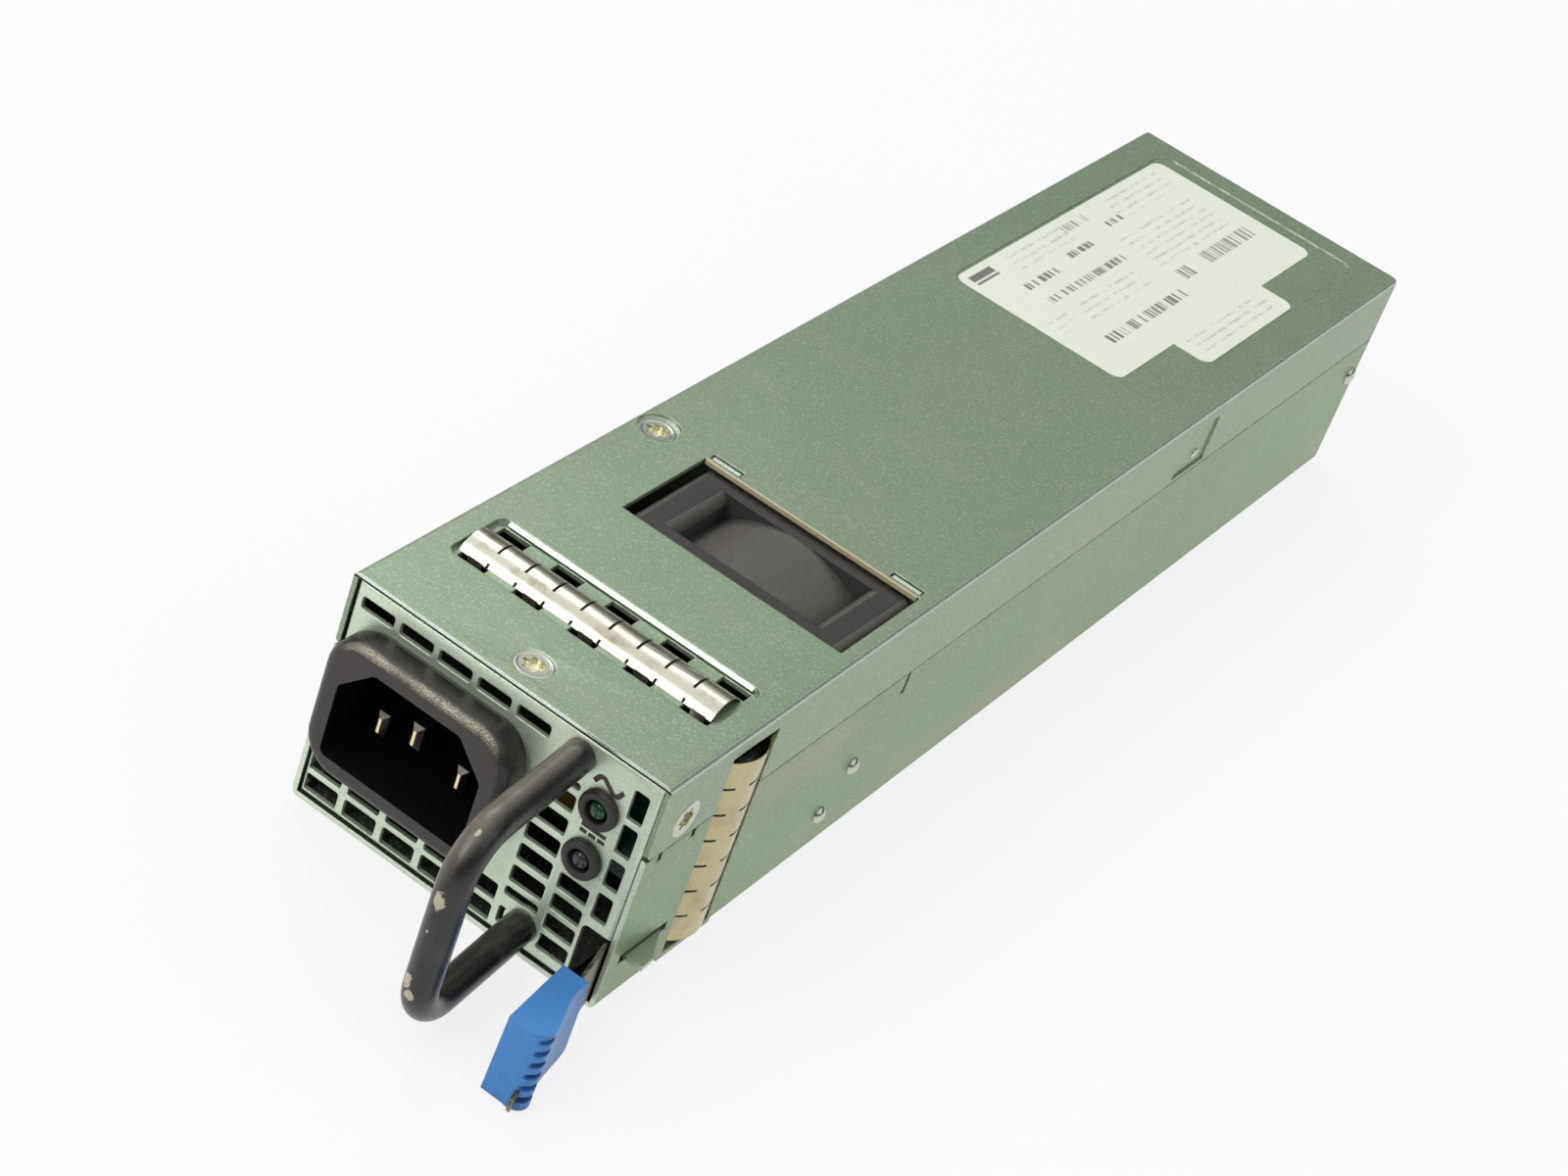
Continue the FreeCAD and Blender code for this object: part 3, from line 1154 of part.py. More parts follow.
def fan_frame():
    """The fan's moulded frame: two square flanges, a round duct, and struts to the motor base."""
    half = FAN_SIZE / 2
    front = FRONT + FAN_FRONT
    flanges = []
    for y in (front, front + FAN_LENGTH - FAN_FLANGE):
        flanges.append(rounded(FAN_X - half, FAN_X + half, y, y + FAN_FLANGE, FAN_Z - half, FAN_Z + half,
                               FAN_CORNER, Y_AXIS))
    duct = rod(FAN_BORE_R + FAN_DUCT_WALL, (FAN_X, front, FAN_Z), Y_AXIS, FAN_LENGTH)
    frame = join(flanges + [duct] + fan_posts())
    cuts = [rod(FAN_BORE_R, (FAN_X, front - 1, FAN_Z), Y_AXIS, FAN_LENGTH + 2)]
    for dx, dz in fan_hole_offsets():
        cuts.append(rod(FAN_HOLE_R, (FAN_X + dx, front - 1, FAN_Z + dz), Y_AXIS, FAN_LENGTH + 2))
    frame = frame.cut(group(cuts))
    rear = front + FAN_LENGTH
    pieces = [frame, rod(HUB_R, (FAN_X, rear - MOTOR_BASE, FAN_Z), Y_AXIS, MOTOR_BASE)]
    for index in range(STRUT_COUNT):
        strut = block(FAN_X, FAN_X + FAN_BORE_R + 0.3, rear - MOTOR_BASE, rear,
                      FAN_Z - STRUT_WIDTH / 2, FAN_Z + STRUT_WIDTH / 2)
        strut.rotate(FreeCAD.Vector(FAN_X, rear, FAN_Z), Y_AXIS, 360 / STRUT_COUNT * index + 20)
        pieces.append(strut)
    tube_length = HUB_LENGTH - HUB_WALL - 1.0
    pieces.append(rod(BEARING_R + TUBE_WALL, (FAN_X, rear - MOTOR_BASE - tube_length, FAN_Z), Y_AXIS, tube_length))
    frame = join(pieces)
    bore = rod(BEARING_R, (FAN_X, rear - MOTOR_BASE - tube_length - 1, FAN_Z), Y_AXIS, tube_length + 1)
    return frame.cut(bore)


def fan_posts():
    """The rounded post at each corner of the fan, from flange to flange."""
    front = FRONT + FAN_FRONT
    outer = FAN_SIZE / 2
    inner = outer - FAN_POST
    posts = []
    for dx in SIDES:
        for dz in SIDES:
            posts.append(rounded(FAN_X + dx * inner, FAN_X + dx * outer, front, front + FAN_LENGTH,
                                 FAN_Z + dz * inner, FAN_Z + dz * outer, FAN_CORNER, Y_AXIS))
    return posts


def fan_hole_offsets():
    """The four mounting holes of the fan, from its axis."""
    reach = FAN_HOLE_PITCH / 2
    return [(dx * reach, dz * reach) for dx in SIDES for dz in SIDES]


def fan_tube_front():
    """Y of the front end of the motor's bearing tube."""
    return FRONT + FAN_REAR - MOTOR_BASE - (HUB_LENGTH - HUB_WALL - 1.0)


def fan_bearings():
    """The two ball bearings in the motor tube, one at each end."""
    ends = (fan_tube_front(), FRONT + FAN_REAR - MOTOR_BASE - BEARING_LENGTH)
    rings = []
    for y in ends:
        ring = rod(BEARING_R, (FAN_X, y, FAN_Z), Y_AXIS, BEARING_LENGTH)
        rings.append(ring.cut(rod(BEARING_BORE, (FAN_X, y - 1, FAN_Z), Y_AXIS, BEARING_LENGTH + 2)))
    return group(rings)


def fan_stator():
    """The motor's wound core: four poles round the bearing tube."""
    start = fan_tube_front() + 2.0
    length = HUB_LENGTH - HUB_WALL - 5.0
    inner = BEARING_R + TUBE_WALL
    core = rod(inner + 0.8, (FAN_X, start, FAN_Z), Y_AXIS, length)
    poles = []
    outer = HUB_R - HUB_WALL - 1.2 - RUNNING
    for index in range(4):
        pole = block(FAN_X + inner, FAN_X + outer, start, start + length, FAN_Z - 1.8, FAN_Z + 1.8)
        pole.rotate(FreeCAD.Vector(FAN_X, start, FAN_Z), Y_AXIS, 90 * index + 45)
        poles.append(pole)
    core = join([core] + poles)
    return core.cut(rod(inner, (FAN_X, start - 1, FAN_Z), Y_AXIS, length + 2))


def fan_hub_front():
    """Y of the hub cup's closed front face."""
    return FRONT + FAN_REAR - MOTOR_BASE - RUNNING - HUB_LENGTH


def fan_blade():
    """One twisted blade, lofted between the hub and the tip."""
    front = fan_hub_front() + 0.6
    length = HUB_LENGTH - 1.2
    tip = FAN_BORE_R - BLADE_TIP_GAP
    sections = []
    for radius, chord in ((HUB_R - 0.6, length * 0.96), (tip, length)):
        angle = math.radians(BLADE_TWIST * (HUB_R / radius) ** 0.3)
        run = chord * math.tan(angle)
        shift = FreeCAD.Vector(FAN_X, front, FAN_Z + radius)
        thick = BLADE_THICK if radius < tip else BLADE_THICK * 0.7
        corners = [FreeCAD.Vector(-run / 2, 0, 0), FreeCAD.Vector(-run / 2 + thick, 0, 0),
                   FreeCAD.Vector(run / 2, chord, 0), FreeCAD.Vector(run / 2 - thick, chord, 0)]
        placed = [shift + corner for corner in corners]
        sections.append(Part.makePolygon(placed + placed[:1]))
    return Part.makeLoft(sections, True, True)


def fan_impeller():
    """The hub cup and its ring of blades."""
    front = fan_hub_front()
    cup = rod(HUB_R, (FAN_X, front, FAN_Z), Y_AXIS, HUB_LENGTH)
    rim = [edge for edge in cup.Edges if abs(edge.CenterOfMass.y - front) < 1e-6]
    cup = cup.makeFillet(1.2, rim)
    blades = []
    for index in range(BLADE_COUNT):
        blade = fan_blade()
        blade.rotate(FreeCAD.Vector(FAN_X, front, FAN_Z), Y_AXIS, 360 / BLADE_COUNT * index)
        blades.append(blade)
    reach = rod(FAN_BORE_R - BLADE_TIP_GAP, (FAN_X, front, FAN_Z), Y_AXIS, HUB_LENGTH)
    fan = join([cup] + blades).common(reach)
    cuts = [rod(HUB_R - HUB_WALL, (FAN_X, front + HUB_WALL, FAN_Z), Y_AXIS, HUB_LENGTH),
            rod(SHAFT_R, (FAN_X, front - 1, FAN_Z), Y_AXIS, HUB_WALL + 2)]
    return fan.cut(group(cuts))


def fan_magnet():
    """The ring magnet inside the hub cup."""
    front = fan_hub_front() + HUB_WALL
    outer = rod(HUB_R - HUB_WALL, (FAN_X, front, FAN_Z), Y_AXIS, HUB_LENGTH - HUB_WALL - 0.6)
    return outer.cut(rod(HUB_R - HUB_WALL - 1.2, (FAN_X, front - 1, FAN_Z), Y_AXIS, HUB_LENGTH + 2))


def fan_shaft():
    """The fan's steel shaft, pressed into the hub and turning in the bearings."""
    front = fan_hub_front()
    end = FRONT + FAN_REAR - MOTOR_BASE - 0.3
    return rod(SHAFT_R, (FAN_X, front, FAN_Z), Y_AXIS, end - front)


def fan_mounts():
    """Four rubber pins through the fan's corner posts that hold it off the bulkhead."""
    front = FRONT + FAN_FRONT - FAN_PIN_HEAD
    rear = FRONT + FAN_REAR
    back = FRONT + BULKHEAD_FRONT + SHEET
    flare = FAN_HOLE_R + FAN_PIN_FLARE
    pins = []
    for dx, dz in fan_hole_offsets():
        x = FAN_X + dx
        z = FAN_Z + dz
        pins.append(join([
            rod(FAN_HOLE_R, (x, front, z), Y_AXIS, back + FAN_PIN_HEAD - front),
            cone(FAN_HOLE_R, flare, (x, front, z), Y_AXIS, FAN_PIN_HEAD),
            rod(flare, (x, rear, z), Y_AXIS, BULKHEAD_GAP),
            cone(flare, FAN_HOLE_R, (x, back, z), Y_AXIS, FAN_PIN_HEAD),
        ]))
    return group(pins)


def fan_bulkhead():
    """The plate behind the fan: air opening, tabs into the cover and walls, and the screw flange."""
    y0 = FRONT + BULKHEAD_FRONT
    y1 = y0 + SHEET
    low = SHEET + SLIP
    top = HEIGHT - SHEET - SLIP
    plate = block(LEFT + LIP_INNER + SLIP, RIGHT - LIP_INNER - SLIP, y0, y1, low, top)
    pieces = [plate]
    for x in bulkhead_tab_places():
        pieces.append(block(x, x + BULKHEAD_TAB, y0, y1, top - 1, HEIGHT - BULKHEAD_TAB_INSET))
    for side in SIDES:
        pieces.append(side_block(side, BULKHEAD_TAB_INSET, LIP_INNER + 1, y0, y1, SIDE_TAB_BASE,
                                 SIDE_TAB_BASE + SIDE_TAB_HEIGHT))
    x, y, _ = rear_screw_place()
    seat = top - DIMPLE
    notch = rod(DIMPLE_R + SHEET + SLIP, (x, y, seat), Z_AXIS, DIMPLE + 1)
    pieces[0] = plate.cut(notch)
    pieces.append(block(LEFT + LIP_INNER + SLIP, x + SCREW_FLANGE_REACH, y0 - SCREW_FLANGE_LENGTH, y1, seat - SHEET, seat))
    plate = join(pieces)
    cuts = [rod(BULKHEAD_OPENING_R, (FAN_X, y0 - 1, FAN_Z), Y_AXIS, SHEET + 2),
            rod(COVER_SCREW_R + SLIP, (x, y, HEIGHT), Z_AXIS * -1, COVER_SCREW_LENGTH + 1.0),
            rod(2 * LEAD_R, (fan_lead_x(), y0 - 1, FAN_LEAD_HEIGHT), Y_AXIS, SHEET + 2)]
    for dx, dz in fan_hole_offsets():
        cuts.append(rod(FAN_HOLE_R, (FAN_X + dx, y0 - 1, FAN_Z + dz), Y_AXIS, SHEET + 2))
    return plate.cut(group(cuts))


# ---- output connector ----

def plug_block(low, high, play):
    """The output connector's outer block between two Y values, grown by a play."""
    half = PLUG_WIDTH / 2 + play
    base = BOARD_TOP - play
    return rounded(-half, half, low, high, base, base + PLUG_TALL + 2 * play, PLUG_CORNER, Y_AXIS)


def power_slot_places():
    """Left edge of each power slot in the output connector."""
    start = -PLUG_WIDTH / 2 + POWER_SLOT_START
    return [start + index * POWER_SLOT_PITCH for index in range(POWER_SLOTS)]


def signal_places():
    """X and Z of each signal pin."""
    right = PLUG_WIDTH / 2 - POWER_SLOT_START - SIGNAL_PITCH / 2
    middle = BOARD_TOP + PLUG_TALL / 2
    places = []
    for column in range(SIGNAL_COLUMNS):
        for row in range(SIGNAL_ROWS):
            places.append((right - column * SIGNAL_PITCH, middle + (row - (SIGNAL_ROWS - 1) / 2) * SIGNAL_PITCH))
    return places


def output_connector():
    """The blind-mating output connector: a moulded block with power slots and a signal bay."""
    body = plug_block(PLUG_FRONT, REAR, 0.0)
    floor = PLUG_FRONT + PLUG_FLOOR
    middle = BOARD_TOP + PLUG_TALL / 2
    cuts = []
    for x in power_slot_places():
        cuts.append(block(x, x + POWER_SLOT_WIDTH, floor, REAR + 1, middle - POWER_SLOT_TALL / 2,
                          middle + POWER_SLOT_TALL / 2))
        cuts.append(block(x + (POWER_SLOT_WIDTH - POWER_BLADE) / 2, x + (POWER_SLOT_WIDTH + POWER_BLADE) / 2,
                          PLUG_FRONT - 1, floor + 1, middle - POWER_SLOT_TALL / 2 + 0.5,
                          middle + POWER_SLOT_TALL / 2 - 0.5))
    places = signal_places()
    xs = [x for x, _ in places]
    zs = [z for _, z in places]
    margin = SIGNAL_BAY_MARGIN
    cuts.append(block(min(xs) - margin, max(xs) + margin, floor, REAR + 1, min(zs) - margin, max(zs) + margin))
    half = SIGNAL_PIN / 2
    for x, z in places:
        cuts.append(block(x - half, x + half, PLUG_FRONT - 1, floor + 1, z - half, z + half))
    return body.cut(group(cuts))


def power_contacts():
    """The power blades of the output connector, with tails into the main board."""
    blades = []
    middle = BOARD_TOP + PLUG_TALL / 2
    for x in power_slot_places():
        x0 = x + (POWER_SLOT_WIDTH - POWER_BLADE) / 2
        high = middle + POWER_SLOT_TALL / 2 - 0.5
        low = middle - POWER_SLOT_TALL / 2 + 0.5
        blade = block(x0, x0 + POWER_BLADE, PLUG_FRONT - 2, REAR - POWER_BLADE_SHORT, low, high)
        tail = block(x0, x0 + POWER_BLADE, PLUG_FRONT - 2, PLUG_FRONT, BOARD_TOP, high)
        blades.append(join([blade, tail]))
    return group(blades)


def signal_contacts():
    """The signal pins, each bent down to the main board behind the connector."""
    pins = []
    half = SIGNAL_PIN / 2
    places = signal_places()
    lowest = min(z for _, z in places)
    for x, z in places:
        back = PLUG_FRONT - 1.0 - (z - lowest) / SIGNAL_PITCH * 1.4
        run = block(x - half, x + half, back - SIGNAL_PIN, REAR - POWER_BLADE_SHORT - 1, z - half, z + half)
        drop = block(x - half, x + half, back - SIGNAL_PIN, back, BOARD_TOP, z + half)
        pins.append(join([run, drop]))
    return group(pins)


# ---- boards and what stands on them ----

def main_board():
    """The main circuit board on its standoffs."""
    x0 = LEFT + BOARD_MARGIN
    x1 = RIGHT - BOARD_MARGIN
    y0 = FRONT + BOARD_FRONT
    y1 = REAR - REAR_SETBACK - SHEET - 0.3
    board = block(x0, x1, y0, y1, BOARD_BASE, BOARD_TOP)
    holes = [rod(BOARD_SCREW_R + SLIP, (x, y, BOARD_BASE - 1), Z_AXIS, BOARD + 2) for x, y in standoff_places()[:6]]
    return board.cut(group(holes))


def filter_board():
    """The small board behind the inlet that carries the mains filter."""
    x0 = LEFT + FILTER_LEFT
    y0 = FRONT + FILTER_FRONT
    board = block(x0, x0 + FILTER_WIDTH, y0, y0 + FILTER_LENGTH, BOARD_BASE, BOARD_TOP)
    holes = [rod(BOARD_SCREW_R + SLIP, (x, y, BOARD_BASE - 1), Z_AXIS, BOARD + 2) for x, y in standoff_places()[6:]]
    return board.cut(group(holes))


def insulator_sheet():
    """The plastic film between the tray's floor and the main board."""
    margin = BOARD_MARGIN + 1.0
    sheet = block(LEFT + margin, RIGHT - margin, FRONT + BOARD_FRONT, REAR - REAR_FOLD - 2, SHEET,
                  SHEET + INSULATOR)
    holes = [rod(STANDOFF_R + 0.3, (x, y, 0), Z_AXIS, 4) for x, y in standoff_places()[:6]]
    return sheet.cut(group(holes))


def board_standoffs():
    """The spacers pressed into the tray's floor."""
    posts = []
    for x, y in standoff_places():
        post = rod(STANDOFF_R, (x, y, SHEET), Z_AXIS, BOARD_LIFT)
        stud = rod(STANDOFF_STUD_R, (x, y, 0), Z_AXIS, SHEET)
        bore = rod(BOARD_SCREW_R, (x, y, SHEET), Z_AXIS, BOARD_LIFT + 1)
        posts.append(join([post, stud]).cut(bore))
    return group(posts)


def board_screws():
    """The pan-headed screws that hold the boards down."""
    screws = []
    for x, y in standoff_places():
        shank = rod(BOARD_SCREW_R, (x, y, BOARD_TOP - BOARD_SCREW_LENGTH), Z_AXIS, BOARD_SCREW_LENGTH)
        head = rod(BOARD_SCREW_HEAD_R, (x, y, BOARD_TOP), Z_AXIS, BOARD_SCREW_HEAD)
        screws.append(join([shank, head]))
    return group(screws)


def ring_coil(x, y, outer_r, inner_r, tall):
    """A wound toroid lying on a board: a rounded ring."""
    ring = rod(outer_r, (x, y, BOARD_TOP), Z_AXIS, tall)
    ring = ring.cut(rod(inner_r, (x, y, BOARD_TOP - 1), Z_AXIS, tall + 2))
    rims = [edge for edge in ring.Edges if edge.CenterOfMass.z > BOARD_TOP + tall - 0.01]
    return ring.makeFillet(min(2.0, (outer_r - inner_r) / 3), rims)


def filter_choke():
    """The common-mode choke on the filter board."""
    x = LEFT + FILTER_LEFT + 2 * STANDOFF_R + CHOKE_R + 2.0
    y = FRONT + FILTER_FRONT + FILTER_LENGTH - CHOKE_R - 0.5
    return ring_coil(x, y, CHOKE_R, CHOKE_HOLE_R, CHOKE_TALL)


def filter_capacitors():
    """The box capacitor across the line, and two disc capacitors to earth."""
    wide, long, tall = XCAP
    x0 = LEFT + FILTER_LEFT + 2 * STANDOFF_R + 2 * CHOKE_R + 3.5
    y0 = FRONT + FILTER_FRONT + (FILTER_LENGTH - long) / 2
    box = rounded(x0, x0 + wide, y0, y0 + long, BOARD_TOP, BOARD_TOP + tall, 0.6, Z_AXIS)
    discs = []
    for index in range(2):
        y = y0 + YCAP_R + index * (2 * YCAP_R + 1.5)
        discs.append(rod(YCAP_R, (x0 + wide + 0.8, y, BOARD_TOP + YCAP_R), X_AXIS, YCAP_THICK))
    return group([box] + discs)


def bulk_capacitor():
    """The large electrolytic lying along the main board, with a crimp groove near its seal."""
    x = LEFT + BOARD_MARGIN + BULK_R + 0.8
    y0 = FRONT + BOARD_FRONT + BULK_FRONT
    z = BOARD_TOP + BULK_GAP + BULK_R
    can = rod(BULK_R, (x, y0, z), Y_AXIS, BULK_LENGTH)
    ends = [edge for edge in can.Edges if edge.Curve.TypeId == "Part::GeomCircle"]
    can = can.makeFillet(1.2, ends)
    groove = Part.makeTorus(BULK_R + 0.3, 1.0, FreeCAD.Vector(x, y0 + 4.5, z), Y_AXIS)
    seat = block(x - 5, x + 5, y0 + 8, y0 + BULK_LENGTH - 6, BOARD_TOP, z - BULK_R + 1.0)
    return can.cut(groove), seat.cut(can)


def boost_inductor():
    """The wound ring of the power factor stage."""
    x = LEFT + BOARD_MARGIN + BOOST_R + 6.0
    y = FRONT + BOARD_FRONT + BULK_FRONT + BULK_LENGTH + BOOST_R + 2.5
    return ring_coil(x, y, BOOST_R, BOOST_HOLE_R, BOOST_TALL)


def sink_x():
    """X of the primary heatsink's plate."""
    return RIGHT - SINK_EDGE


def sink_start():
    """Y of the heatsink's front end, so that its rear end stays clear of the transformer."""
    return core_start() - CORE_GAP - SINK_LENGTH


def primary_heatsink():
    """An extruded aluminium plate with fins along its right face."""
    x = sink_x()
    y0 = sink_start()
    plate = block(x, x + SINK_PLATE, y0, y0 + SINK_LENGTH, BOARD_TOP, BOARD_TOP + SINK_TALL)
    fins = []
    for index in range(SINK_FINS):
        z = BOARD_TOP + 3 + index * (SINK_TALL - 3 - SINK_FIN) / (SINK_FINS - 1)
        fins.append(block(x + SINK_PLATE - 0.1, x + SINK_PLATE + SINK_FIN_REACH, y0, y0 + SINK_LENGTH, z, z + SINK_FIN))
    return join([plate] + fins)


def power_transistors():
    """The switching transistors clamped to the left face of the heatsink."""
    thick, wide, tall = PACKAGE
    x = sink_x() - thick
    packages = []
    for index in range(PACKAGE_COUNT):
        y = sink_start() + PACKAGE_LEAD + index * PACKAGE_PITCH
        case = block(x, x + thick, y, y + wide, BOARD_TOP + 4, BOARD_TOP + 4 + tall)
        case = case.cut(rod(1.7, (x - 1, y + wide / 2, BOARD_TOP + tall), X_AXIS, thick + 2))
        legs = [block(x + 1.5, x + 2.3, y + wide / 2 + place - 0.6, y + wide / 2 + place + 0.6, BOARD_TOP,
                      BOARD_TOP + 4.2) for place in (-5.0, 0.0, 5.0)]
        packages.append(join([case] + legs))
    return group(packages)


def bridge_rectifier():
    """The flat rectifier standing across the board behind the bulkhead."""
    thick, wide, tall = BRIDGE
    x0 = LEFT + BOARD_MARGIN + BRIDGE_EDGE
    y0 = FRONT + BOARD_FRONT + BRIDGE_START
    case = block(x0, x0 + wide, y0, y0 + thick, BOARD_TOP + 3, BOARD_TOP + 3 + tall)
    case = case.cut(rod(1.6, (x0 + wide / 2, y0 - 1, BOARD_TOP + tall - 1), Y_AXIS, thick + 2))
    legs = [block(x0 + 2.5 + 5 * index, x0 + 3.7 + 5 * index, y0 + 1.5, y0 + 2.7, BOARD_TOP, BOARD_TOP + 3.2)
            for index in range(4)]
    return join([case] + legs)


def core_start():
    """Y of the transformer's front face."""
    return FRONT + BOARD_FRONT + BULK_FRONT + CORE_START


def transformer_core():
    """The ferrite core: two side legs, top and bottom yokes and a round centre post."""
    half = CORE_WIDTH / 2
    y0 = core_start()
    y1 = y0 + CORE_LENGTH
    low = BOARD_TOP
    high = low + CORE_TALL
    core = block(-half, half, y0, y1, low, high)
    core = core.cut(block(-half + CORE_LEG, half - CORE_LEG, y0 - 1, y1 + 1, low + CORE_LEG / 2, high - CORE_LEG / 2))
    post = rod(CORE_LEG * 0.8, (0, (y0 + y1) / 2, low + 1), Z_AXIS, CORE_TALL - 2)
    return join([core, post])


def transformer_winding():
    """The coil round the core's centre post."""
    y = core_start() + CORE_LENGTH / 2
    low = BOARD_TOP + CORE_LEG / 2
    tall = CORE_TALL - CORE_LEG
    outer = CORE_WIDTH / 2 - CORE_LEG - WINDING_GAP
    coil = rod(outer, (0, y, low), Z_AXIS, tall)
    return coil.cut(rod(CORE_LEG * 0.8 + 0.05, (0, y, low - 1), Z_AXIS, tall + 2))


def output_start():
    """Y where the output stage begins, behind the transformer."""
    return core_start() + CORE_LENGTH + 1.5


def output_inductor():
    """The output choke, a squat wound ring."""
    x = RIGHT - BOARD_MARGIN - OUT_CHOKE_R - 8.5
    return ring_coil(x, output_start() + OUT_CHOKE_R, OUT_CHOKE_R, OUT_CHOKE_HOLE_R, OUT_CHOKE_TALL)


def output_capacitors():
    """A row of output capacitors across the board."""
    y = REAR - OUT_CAP_ROW
    first = -(OUT_CAPS - 1) / 2 * OUT_CAP_PITCH
    cans = []
    for index in range(OUT_CAPS):
        cans.append(rod(OUT_CAP_R, (first + index * OUT_CAP_PITCH, y, BOARD_TOP), Z_AXIS, OUT_CAP_TALL))
    return group(cans)


def secondary_heatsink():
    """The finned block over the output rectifiers, left of the output choke."""
    wide, long, tall = OUT_SINK
    x0 = LEFT + BOARD_MARGIN + 7.0
    y0 = output_start()
    base = block(x0, x0 + wide, y0, y0 + long, BOARD_TOP, BOARD_TOP + OUT_SINK_BASE)
    pitch = (wide - SINK_FIN) / (OUT_SINK_FINS - 1)
    fins = [block(x0 + index * pitch, x0 + index * pitch + SINK_FIN, y0, y0 + long, BOARD_TOP, BOARD_TOP + tall)
            for index in range(OUT_SINK_FINS)]
    return join([base] + fins)


def bus_bars():
    """Two copper bars from the output stage to the rear connector's blades."""
    bars = []
    y0 = REAR - OUT_CAP_ROW + OUT_CAP_R + 1.0
    y1 = PLUG_FRONT - 2.0 - SHEET
    start = -PLUG_WIDTH / 2 + POWER_SLOT_START
    for index in range(2):
        x0 = start + index * (BUS_WIDTH + 1.4)
        bars.append(block(x0, x0 + BUS_WIDTH, y0, y1, BOARD_TOP, BOARD_TOP + BUS_THICK))
    return group(bars)


def control_card():
    """The upright control card by the right wall."""
    thick, long, tall = CARD
    x = RIGHT - CARD_EDGE
    y0 = FRONT + BOARD_FRONT + CARD_START
    return block(x - thick, x, y0, y0 + long, BOARD_TOP, BOARD_TOP + tall)


def inlet_leads():
    """Three insulated leads from the inlet's tails down to the filter board."""
    wires = []
    tail_end = PANEL_FACE + INLET_BODY_DEPTH + BLADE_TAIL
    for offset, z, _ in blade_places():
        x = INLET_X + offset
        y1 = FRONT + FILTER_FRONT + 1.4
        path = ((x, tail_end, z), (x, y1, z), (x, y1, BOARD_TOP))
        wires.append(lead(path, LEAD_R, LEAD_BEND))
    return group(wires)


def fan_lead_x():
    """X of the fan lead's run beside the fan."""
    return FAN_X - FAN_SIZE / 2 - FAN_LEAD_GAP


def fan_lead():
    """The fan's lead from its rear corner, through the bulkhead, to the main board."""
    x = fan_lead_x()
    z = FAN_LEAD_HEIGHT
    y0 = FRONT + FAN_REAR - FAN_FLANGE / 2
    y2 = FRONT + BOARD_FRONT + BULK_FRONT - LEAD_R - 0.6
    path = ((FAN_X - FAN_SIZE / 2, y0, z), (x, y0, z), (x, y2, z), (x, y2, BOARD_TOP))
    return lead(path, LEAD_R, LEAD_BEND)


def rating_label():
    """The bare rating label in its bed: a rounded panel with a wing on its right."""
    low = HEIGHT - LABEL_RECESS
    high = low + LABEL_SHEET
    x0 = LEFT + LABEL_LEFT
    x1 = x0 + LABEL_WIDTH
    y0 = FRONT + LABEL_START
    wing = y0 + LABEL_WING_START
    return join([
        rounded(x0, x1, y0, y0 + LABEL_LENGTH, low, high, LABEL_CORNER, Z_AXIS),
        rounded(x0 + LABEL_WIDTH / 2, x1 + LABEL_WING, wing, wing + LABEL_WING_LENGTH, low, high, LABEL_CORNER, Z_AXIS),
    ])


def all_parts():
    """Every named sub-part with its shape."""
    can, seat = bulk_capacitor()
    return {
        "chassis_tray": chassis_tray(),
        "top_cover": top_cover(),
        "front_panel": front_panel(),
        "rear_panel": rear_panel(),
        "cover_screws": cover_screws(),
        "latch_rivets": latch_rivets(),
        "rear_rivets": rear_rivets(),
        "flange_rivets": flange_rivets(),
        "top_gasket": top_gasket(),
        "right_gasket": side_gasket(1),
        "left_gasket": side_gasket(-1),
        "handle_bar": handle_bar(),
        "handle_screws": handle_screws(),
        "inlet_housing": inlet_housing(),
        "inlet_blades": inlet_blades(),
        "led_bezels": led_bezels(),
        "led_lenses": led_lenses(),
        "led_board": led_board(),
        "latch_spring_mount": latch_spring_mount(),
        "latch_spring_arm": latch_spring_arm(),
        "latch_grip": latch_grip(),
        "fan_frame": fan_frame(),
        "fan_bearings": fan_bearings(),
        "fan_stator": fan_stator(),
        "fan_impeller": fan_impeller(),
        "fan_magnet": fan_magnet(),
        "fan_shaft": fan_shaft(),
        "fan_mounts": fan_mounts(),
        "fan_bulkhead": fan_bulkhead(),
        "output_connector": output_connector(),
        "power_contacts": power_contacts(),
        "signal_contacts": signal_contacts(),
        "main_board": main_board(),
        "filter_board": filter_board(),
        "insulator_sheet": insulator_sheet(),
        "board_standoffs": board_standoffs(),
        "board_screws": board_screws(),
        "filter_choke": filter_choke(),
        "filter_capacitors": filter_capacitors(),
        "bulk_capacitor": can,
        "capacitor_adhesive": seat,
        "boost_inductor": boost_inductor(),
        "primary_heatsink": primary_heatsink(),
        "power_transistors": power_transistors(),
        "bridge_rectifier": bridge_rectifier(),
        "transformer_core": transformer_core(),
        "transformer_winding": transformer_winding(),
        "output_inductor": output_inductor(),
        "output_capacitors": output_capacitors(),
        "secondary_heatsink": secondary_heatsink(),
        "bus_bars": bus_bars(),
        "control_card": control_card(),
        "inlet_leads": inlet_leads(),
        "fan_lead": fan_lead(),
        "rating_label": rating_label(),
    }


os.makedirs("parts", exist_ok=True)
for name, shape in all_parts().items():
    shape.exportStep("parts/" + name + ".step")
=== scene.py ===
"""Dresses a hot swap server power supply: sheets, strips, inlet, handle, lamps, latch, fan and boards."""

import json
import logging
import math
from contextlib import contextmanager
from dataclasses import dataclass
from enum import Enum
from typing import Callable, Iterable, Iterator, Sequence, Union

import bpy
from mathutils import Matrix, Quaternion, Vector

